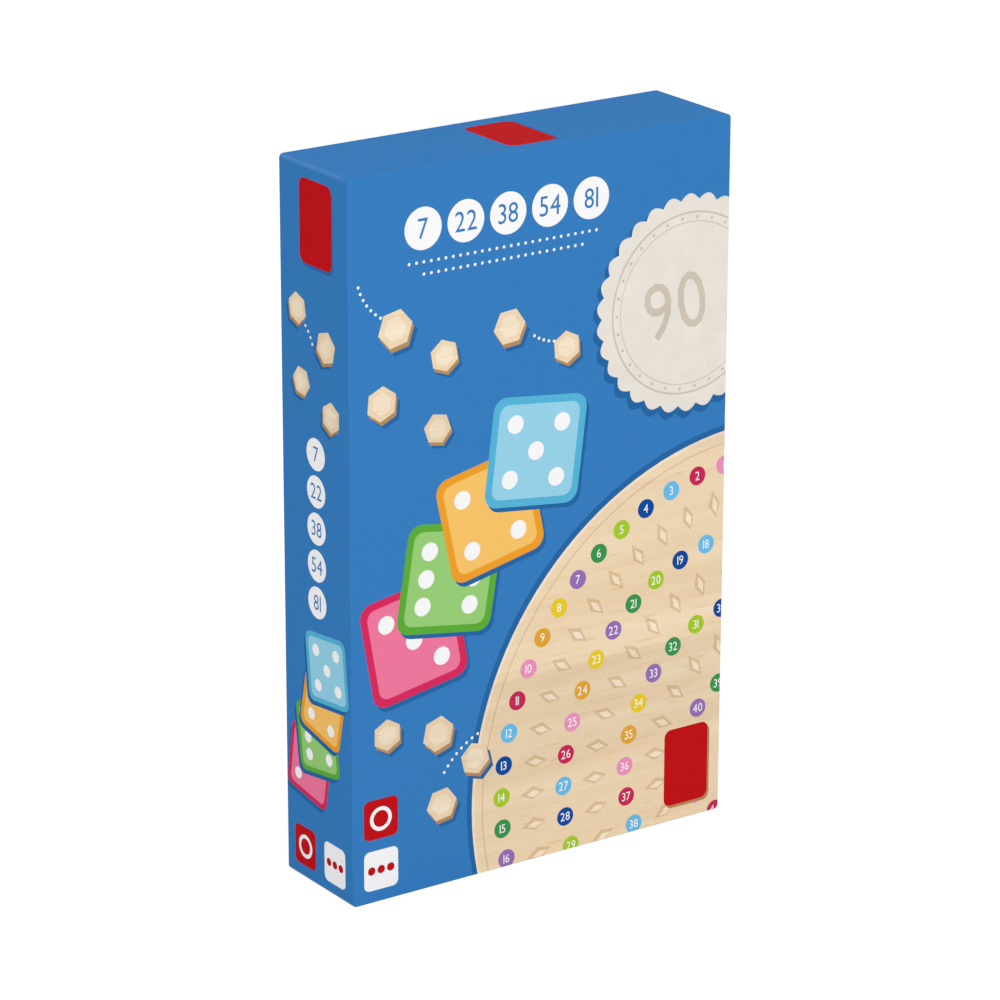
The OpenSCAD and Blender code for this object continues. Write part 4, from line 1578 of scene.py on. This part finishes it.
def stitch(a, b, middle):
    """The rings of one short thread that rises from the cloth and dips back."""
    along = (b - a).normalized()
    out = (a + b) / 2 - middle
    out = (out - along * out.dot(along)).normalized()
    side = along.cross(out)
    rings = []
    for i in range(STITCH_STEPS):
        t = i / (STITCH_STEPS - 1)
        rise = math.sin(math.pi * t)
        centre = a.lerp(b, t) + out * (STITCH_RISE * rise - STITCH_SINK)
        size = STITCH_R * (0.45 + 0.55 * rise)
        angles = [2 * math.pi * k / STITCH_SIDES for k in range(STITCH_SIDES)]
        rings.append([centre + (out * math.cos(a) + side * math.sin(a)) * size for a in angles])
    return rings


SEAM_POINTS = 7
SEAM_HALF = 0.9
SEAM_RISE = 0.42
SEAM_SINK = 0.12


def make_side_seams(sections, material):
    """The turned seam down each side of the bag, a soft ridge."""
    rings = [bag_ring(*section) for section in sections if 4 < section[0] < NECK_Z - 6]
    angles = [math.pi * k / (SEAM_POINTS - 1) for k in range(SEAM_POINTS)]
    for name, index in (("bag_seam_right", 0), ("bag_seam_left", BAG_AROUND // 2)):
        ridge = []
        for ring in rings:
            side = (ring[(index + 1) % BAG_AROUND] - ring[index - 1]).normalized()
            out = side.cross(UP)
            ridge.append([
                ring[index] + side * (SEAM_HALF * math.cos(a)) + out * (SEAM_RISE * math.sin(a) - SEAM_SINK)
                for a in angles
            ])
        verts, faces = [], []
        skin(verts, faces, ridge)
        soft_piece(name, verts, faces, material, sharp=50)


# The drawcord: three twisted strands round the neck, and two free ends with knots

CORD_R = 1.3
# The front half's route from the bag's middle and foot: up the free end, over the cloth and round the neck
CORD_HALF = [
    (100, -9, 3), (94, -8, 1.6), (88, -7, 1.3), (82, -6.2, 1.8), (77, -5.6, 4.6),
    (74, -5.2, 9.5), (73.1, -5, 16), (73, -5, 26), (73, -5, 36), (73, -5, 46), (73, -5, 56),
    (72.4, -4.9, 64), (68.3, -4.8, 72.6), (62, -4.6, 77.2), (56, -4.4, 81.3),
    (49, -4.2, 84.4), (42, -4, 87.4), (35, -3.9, 90.4), (29, -4, 93.9), (23, -4.6, 97.4),
    (17.2, -6.4, 101.5), (9.3, -7.9, 104), (3.8, -9.9, 104), (-2.5, -10.1, 104),
    (-8.3, -8.4, 104), (-12.6, -5.2, 104),
]
CORD_TURN = (-14.5, 0, 104)
FREE_POINTS = 21
ROUTE_STEP = 0.7
STRANDS = 3
STRAND_PITCH = 8.5
STRAND_SIDES = 8
KNOT_STEPS = 72
KNOT_SIZE = 0.56
KNOT_R = 1.22
KNOT_SIDES = 10


def cord_points(points):
    """The route in the frame as points less than a millimetre apart, on a smooth curve."""
    points = [BAG_MID + Vector(p) for p in points]
    found = []
    for k in range(len(points) - 1):
        a, b, c, d = around(points, k)
        steps = max(2, round((c - b).length / ROUTE_STEP))
        found += [on_curve(a, b, c, d, i / steps) for i in range(steps)]
    return found + [points[-1]]


def frames_along(points):
    """A normal and a second one square to it at each point, turning as little as they can."""
    found = []
    normal = None
    for i in range(len(points)):
        tangent = (points[min(i + 1, len(points) - 1)] - points[max(i - 1, 0)]).normalized()
        if normal is None:
            normal = tangent.orthogonal()
        normal = (normal - tangent * normal.dot(tangent)).normalized()
        found.append((normal, tangent.cross(normal)))
    return found


def tube_into(verts, faces, points, radius, sides, closed=False):
    angles = [2 * math.pi * k / sides for k in range(sides)]
    rings = [
        [point + (normal * math.cos(a) + other * math.sin(a)) * radius for a in angles]
        for point, (normal, other) in zip(points, frames_along(points))
    ]
    skin(verts, faces, rings, closed=closed, capped=not closed)


def twisted_cord(name, points, material):
    """A cord of twisted strands along a route, and the route's length."""
    verts, faces = [], []
    frames = frames_along(points)
    length = 0.0
    turns = [0.0]
    for a, b in zip(points, points[1:]):
        length += (b - a).length
        turns.append(length / STRAND_PITCH * 2 * math.pi)
    for strand in range(STRANDS):
        path = []
        for point, turn, (normal, other) in zip(points, turns, frames):
            angle = turn + 2 * math.pi * strand / STRANDS
            path.append(point + (normal * math.cos(angle) + other * math.sin(angle)) * (CORD_R / 2))
        tube_into(verts, faces, path, CORD_R / 2, STRAND_SIDES)
    return soft_piece(name, verts, faces, material, sharp=60), length


def overhand_knot(name, centre, material):
    """A pulled-tight overhand knot in the cord's end, on a trefoil's curve."""
    points = []
    for i in range(KNOT_STEPS):
        t = 2 * math.pi * i / KNOT_STEPS
        x = math.sin(t) + 2 * math.sin(2 * t)
        y = math.cos(t) - 2 * math.cos(2 * t)
        points.append(centre + Vector((x, y, -1.5 * math.sin(3 * t))) * KNOT_SIZE)
    verts, faces = [], []
    tube_into(verts, faces, points, KNOT_R, KNOT_SIDES, closed=True)
    return soft_piece(name, verts, faces, material)


def make_cord(material):
    mirrored = [(x, -y, z) for x, y, z in CORD_HALF]
    neck = CORD_HALF[FREE_POINTS - 1:] + [CORD_TURN] + mirrored[FREE_POINTS - 1:][::-1]
    tie, _ = twisted_cord("cord_round_neck", cord_points(neck), material)
    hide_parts("bag_cord")
    for side, route in (("front", CORD_HALF), ("back", mirrored)):
        points = cord_points(route[:FREE_POINTS][::-1])
        piece, length = twisted_cord("cord_end_" + side, points, material)
        knot = overhand_knot("cord_knot_" + side, points[-1], material)
        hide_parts("bag_cord")
        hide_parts("bag_cord")


# Materials of the cloth and of the pieces that keep their own shape


def cotton_cloth():
    """Unbleached plain-woven cotton with a few darker motes."""
    material, s, body = start_material("cotton_cloth", roughness=0.9, specular=0.15)
    body.inputs["Sheen Weight"].default_value = 0.25
    body.inputs["Sheen Roughness"].default_value = 0.5
    weave = s.use(WEAVE, Vector=s.place(), Threads_per_metre=1500.0)
    motes = s.ramp(s.noise(s.place(), scale=1100.0, detail=2.0, roughness=0.7), 0.7, 0.76)
    colour = s.mix(s.times(motes, 0.5), bare("cotton"), bare("cotton_mote"))
    s.feed(body.inputs["Base Color"], s.tinted(colour, weave.outputs["Tone"]))
    bumped(s, body, weave.outputs["Height"], depth=0.12, strength=0.6)
    return material


def cord_cotton():
    """Twisted white cotton yarn."""
    material, s, body = start_material("cord_yarn", roughness=0.9, specular=0.15)
    body.inputs["Sheen Weight"].default_value = 0.2
    fibre = s.use(FIBRE, Scale=1600.0, Tone=0.04)
    threads = s.noise(s.place(), scale=2600.0, detail=2.0, roughness=0.7, distortion=0.8)
    s.feed(body.inputs["Base Color"], s.tinted(bare("cord"), fibre.outputs["Tone"]))
    bumped(s, body, threads, depth=0.1, strength=0.6)
    return material


def greyboard():
    """Grey recycled board with darker and lighter flecks."""
    material, s, body = start_material("greyboard", roughness=0.85, specular=0.2)
    place = s.place()
    fibre = s.use(FIBRE, Scale=700.0, Tone=0.05)
    dark = s.ramp(s.noise(place, scale=1500.0, detail=2.0, roughness=0.6), 0.62, 0.7)
    pale = s.ramp(s.noise(place, scale=900.0, detail=3.0, roughness=0.6, distortion=0.4), 0.64, 0.72)
    colour = s.mix(s.times(dark, 0.45), bare("board"), bare("board_dark_fleck"))
    colour = s.mix(s.times(pale, 0.5), colour, bare("board_pale_fleck"))
    s.feed(body.inputs["Base Color"], s.tinted(colour, fibre.outputs["Tone"]))
    bumped(s, body, fibre.outputs["Height"], depth=0.06, strength=0.6)
    return material


def corner_tape():
    """Thin creped paper tape."""
    material, s, body = start_material("corner_tape", roughness=0.6, specular=0.3)
    fibre = s.use(FIBRE, Scale=1100.0, Tone=0.03)
    crepe = s.noise(s.place((300.0, 300.0, 2600.0)), scale=1.0, detail=3.0, roughness=0.6)
    s.feed(body.inputs["Base Color"], s.tinted(bare("tape"), fibre.outputs["Tone"]))
    bumped(s, body, crepe, depth=0.05, strength=0.6)
    return material


def folded_card(name, colour, roughness):
    """White-lined folding card, a little greyer along its creases."""
    material, s, body = start_material(name, roughness, specular=0.25)
    fibre = s.use(FIBRE, Scale=1200.0, Tone=0.018)
    creased = s.ramp(s.node("NewGeometry").outputs["Pointiness"], 0.52, 0.62, 0.0, 0.35)
    toned = s.mix(creased, bare(colour), bare("crease"))
    s.feed(body.inputs["Base Color"], s.tinted(toned, fibre.outputs["Tone"]))
    bumped(s, body, fibre.outputs["Height"], depth=0.04, strength=0.5)
    return material


def card_stock(colour):
    """A card: coloured paper on its back, and the grey of the board at its cut edges."""
    material, s, body = start_material("card_" + colour, roughness=0.5, specular=0.2)
    fibre = s.use(FIBRE, Scale=1300.0, Tone=0.02)
    facing = s.parts(s.node("NewGeometry").outputs["True Normal"])[1]
    flat = s.maths("GREATER_THAN", s.maths("ABSOLUTE", facing), 0.7)
    flecks = s.ramp(s.noise(s.place(), scale=1800.0, detail=3.0, roughness=0.6), 0.4, 0.7)
    core = s.mix(flecks, bare("card_core"), bare("card_core_fleck"))
    toned = s.mix(flat, core, linear(INKS["card_" + colour]))
    s.feed(body.inputs["Base Color"], s.tinted(toned, fibre.outputs["Tone"]))
    bumped(s, body, fibre.outputs["Height"], depth=0.04, strength=0.5)
    return material


def hardwood(name, roughness, stave, stretch=(1, 1, 1), turn=(0, 0, 0), shift=(0, 0, 0)):
    """Light hardwood with a satin finish. A stave's width is in millimetres, as stretched and turned."""
    material, s, body = start_material(name, roughness, specular=0.3)
    place = s.place(stretch, turn, shift)
    grain = s.use(GRAIN, Vector=place, Base=bare("hardwood"), Dark=bare("hardwood_dark"), Stave=stave * MM)
    dull, smooth = roughness + 0.12, roughness - 0.05
    s.feed(body.inputs["Base Color"], grain.outputs["Color"])
    s.feed(body.inputs["Roughness"], s.ramp(grain.outputs["Height"], -0.6, 0.4, dull, smooth))
    bumped(s, body, grain.outputs["Height"], depth=0.06, strength=0.4)
    return material


def brushed_steel(name, roughness):
    """Zinc-plated steel, drawn lengthwise."""
    material, s, body = start_material(name, roughness, specular=0.5, metallic=1.0)
    lines = s.noise(s.place((60.0, 4000.0, 4000.0)), scale=1.0, detail=3.0, roughness=0.6)
    patches = s.noise(s.place(), scale=500.0, detail=3.0, roughness=0.6)
    s.feed(body.inputs["Base Color"], s.tinted(bare(name), s.ramp(patches, 0.3, 0.7, 0.9, 1.04)))
    s.feed(body.inputs["Roughness"], s.ramp(lines, 0.3, 0.7, roughness - 0.06, roughness + 0.1))
    bumped(s, body, lines, depth=0.02, strength=0.5)
    return material


BOARD_STAVE = 35
BALL_STAVE = 19.3
DISC_PITCH = 4.15


def dress(material, *nodes):
    """Gives CAD nodes that stay a better material."""
    for node in nodes:
        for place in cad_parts[node].material_slots:
            place.material = material


def dress_nodes():
    """A material for every CAD node that stays. The discs' grain is turned, and each is one stave."""
    board = greyboard()
    dress(board, "lid_front_panel", "lid_side_walls", "lid_end_walls")
    dress(board, "tray_back_panel", "tray_side_walls", "tray_end_walls")
    dress(corner_tape(), "lid_corner_tapes", "tray_corner_tapes")
    dress(folded_card("insert_card", "insert", 0.6), "insert_ledges", "insert_trough")
    dress(folded_card("leaflet_paper", "leaflet", 0.5), "rules_leaflet")
    for colour in CARD_INKS:
        dress(card_stock(colour), "cards_" + colour)
    dress(hardwood("board_wood", 0.5, BOARD_STAVE), "board_back_leaf", "board_front_leaf")
    quarter, half_disc = (0, math.pi / 2, 0), (0, 0, DISC_PITCH / 2 * MM)
    dress(hardwood("disc_wood", 0.6, DISC_PITCH, (1, 1.6, 0.5), quarter, half_disc), "marker_discs")
    dress(hardwood("ball_wood", 0.5, BALL_STAVE, (2, 2, 0.6)), "number_balls")
    dress(brushed_steel("hinge_steel", 0.32), "hinge_back_plates", "hinge_front_plates", "hinge_pins")
    dress(brushed_steel("screw_steel", 0.38), "back_hinge_screws", "front_hinge_screws")


make_camera()
make_bag(cotton_cloth())
make_cord(cord_cotton())
make_world()
make_floor()
make_lights()
PRINTED = printed_paper()
make_wraps(PRINTED)
make_board_prints(PRINTED)
make_card_prints(PRINTED)
make_ball_numbers(PRINTED)
make_leaflet_print(PRINTED)
dress_nodes()

bpy.context.scene.view_settings.view_transform = "Standard"
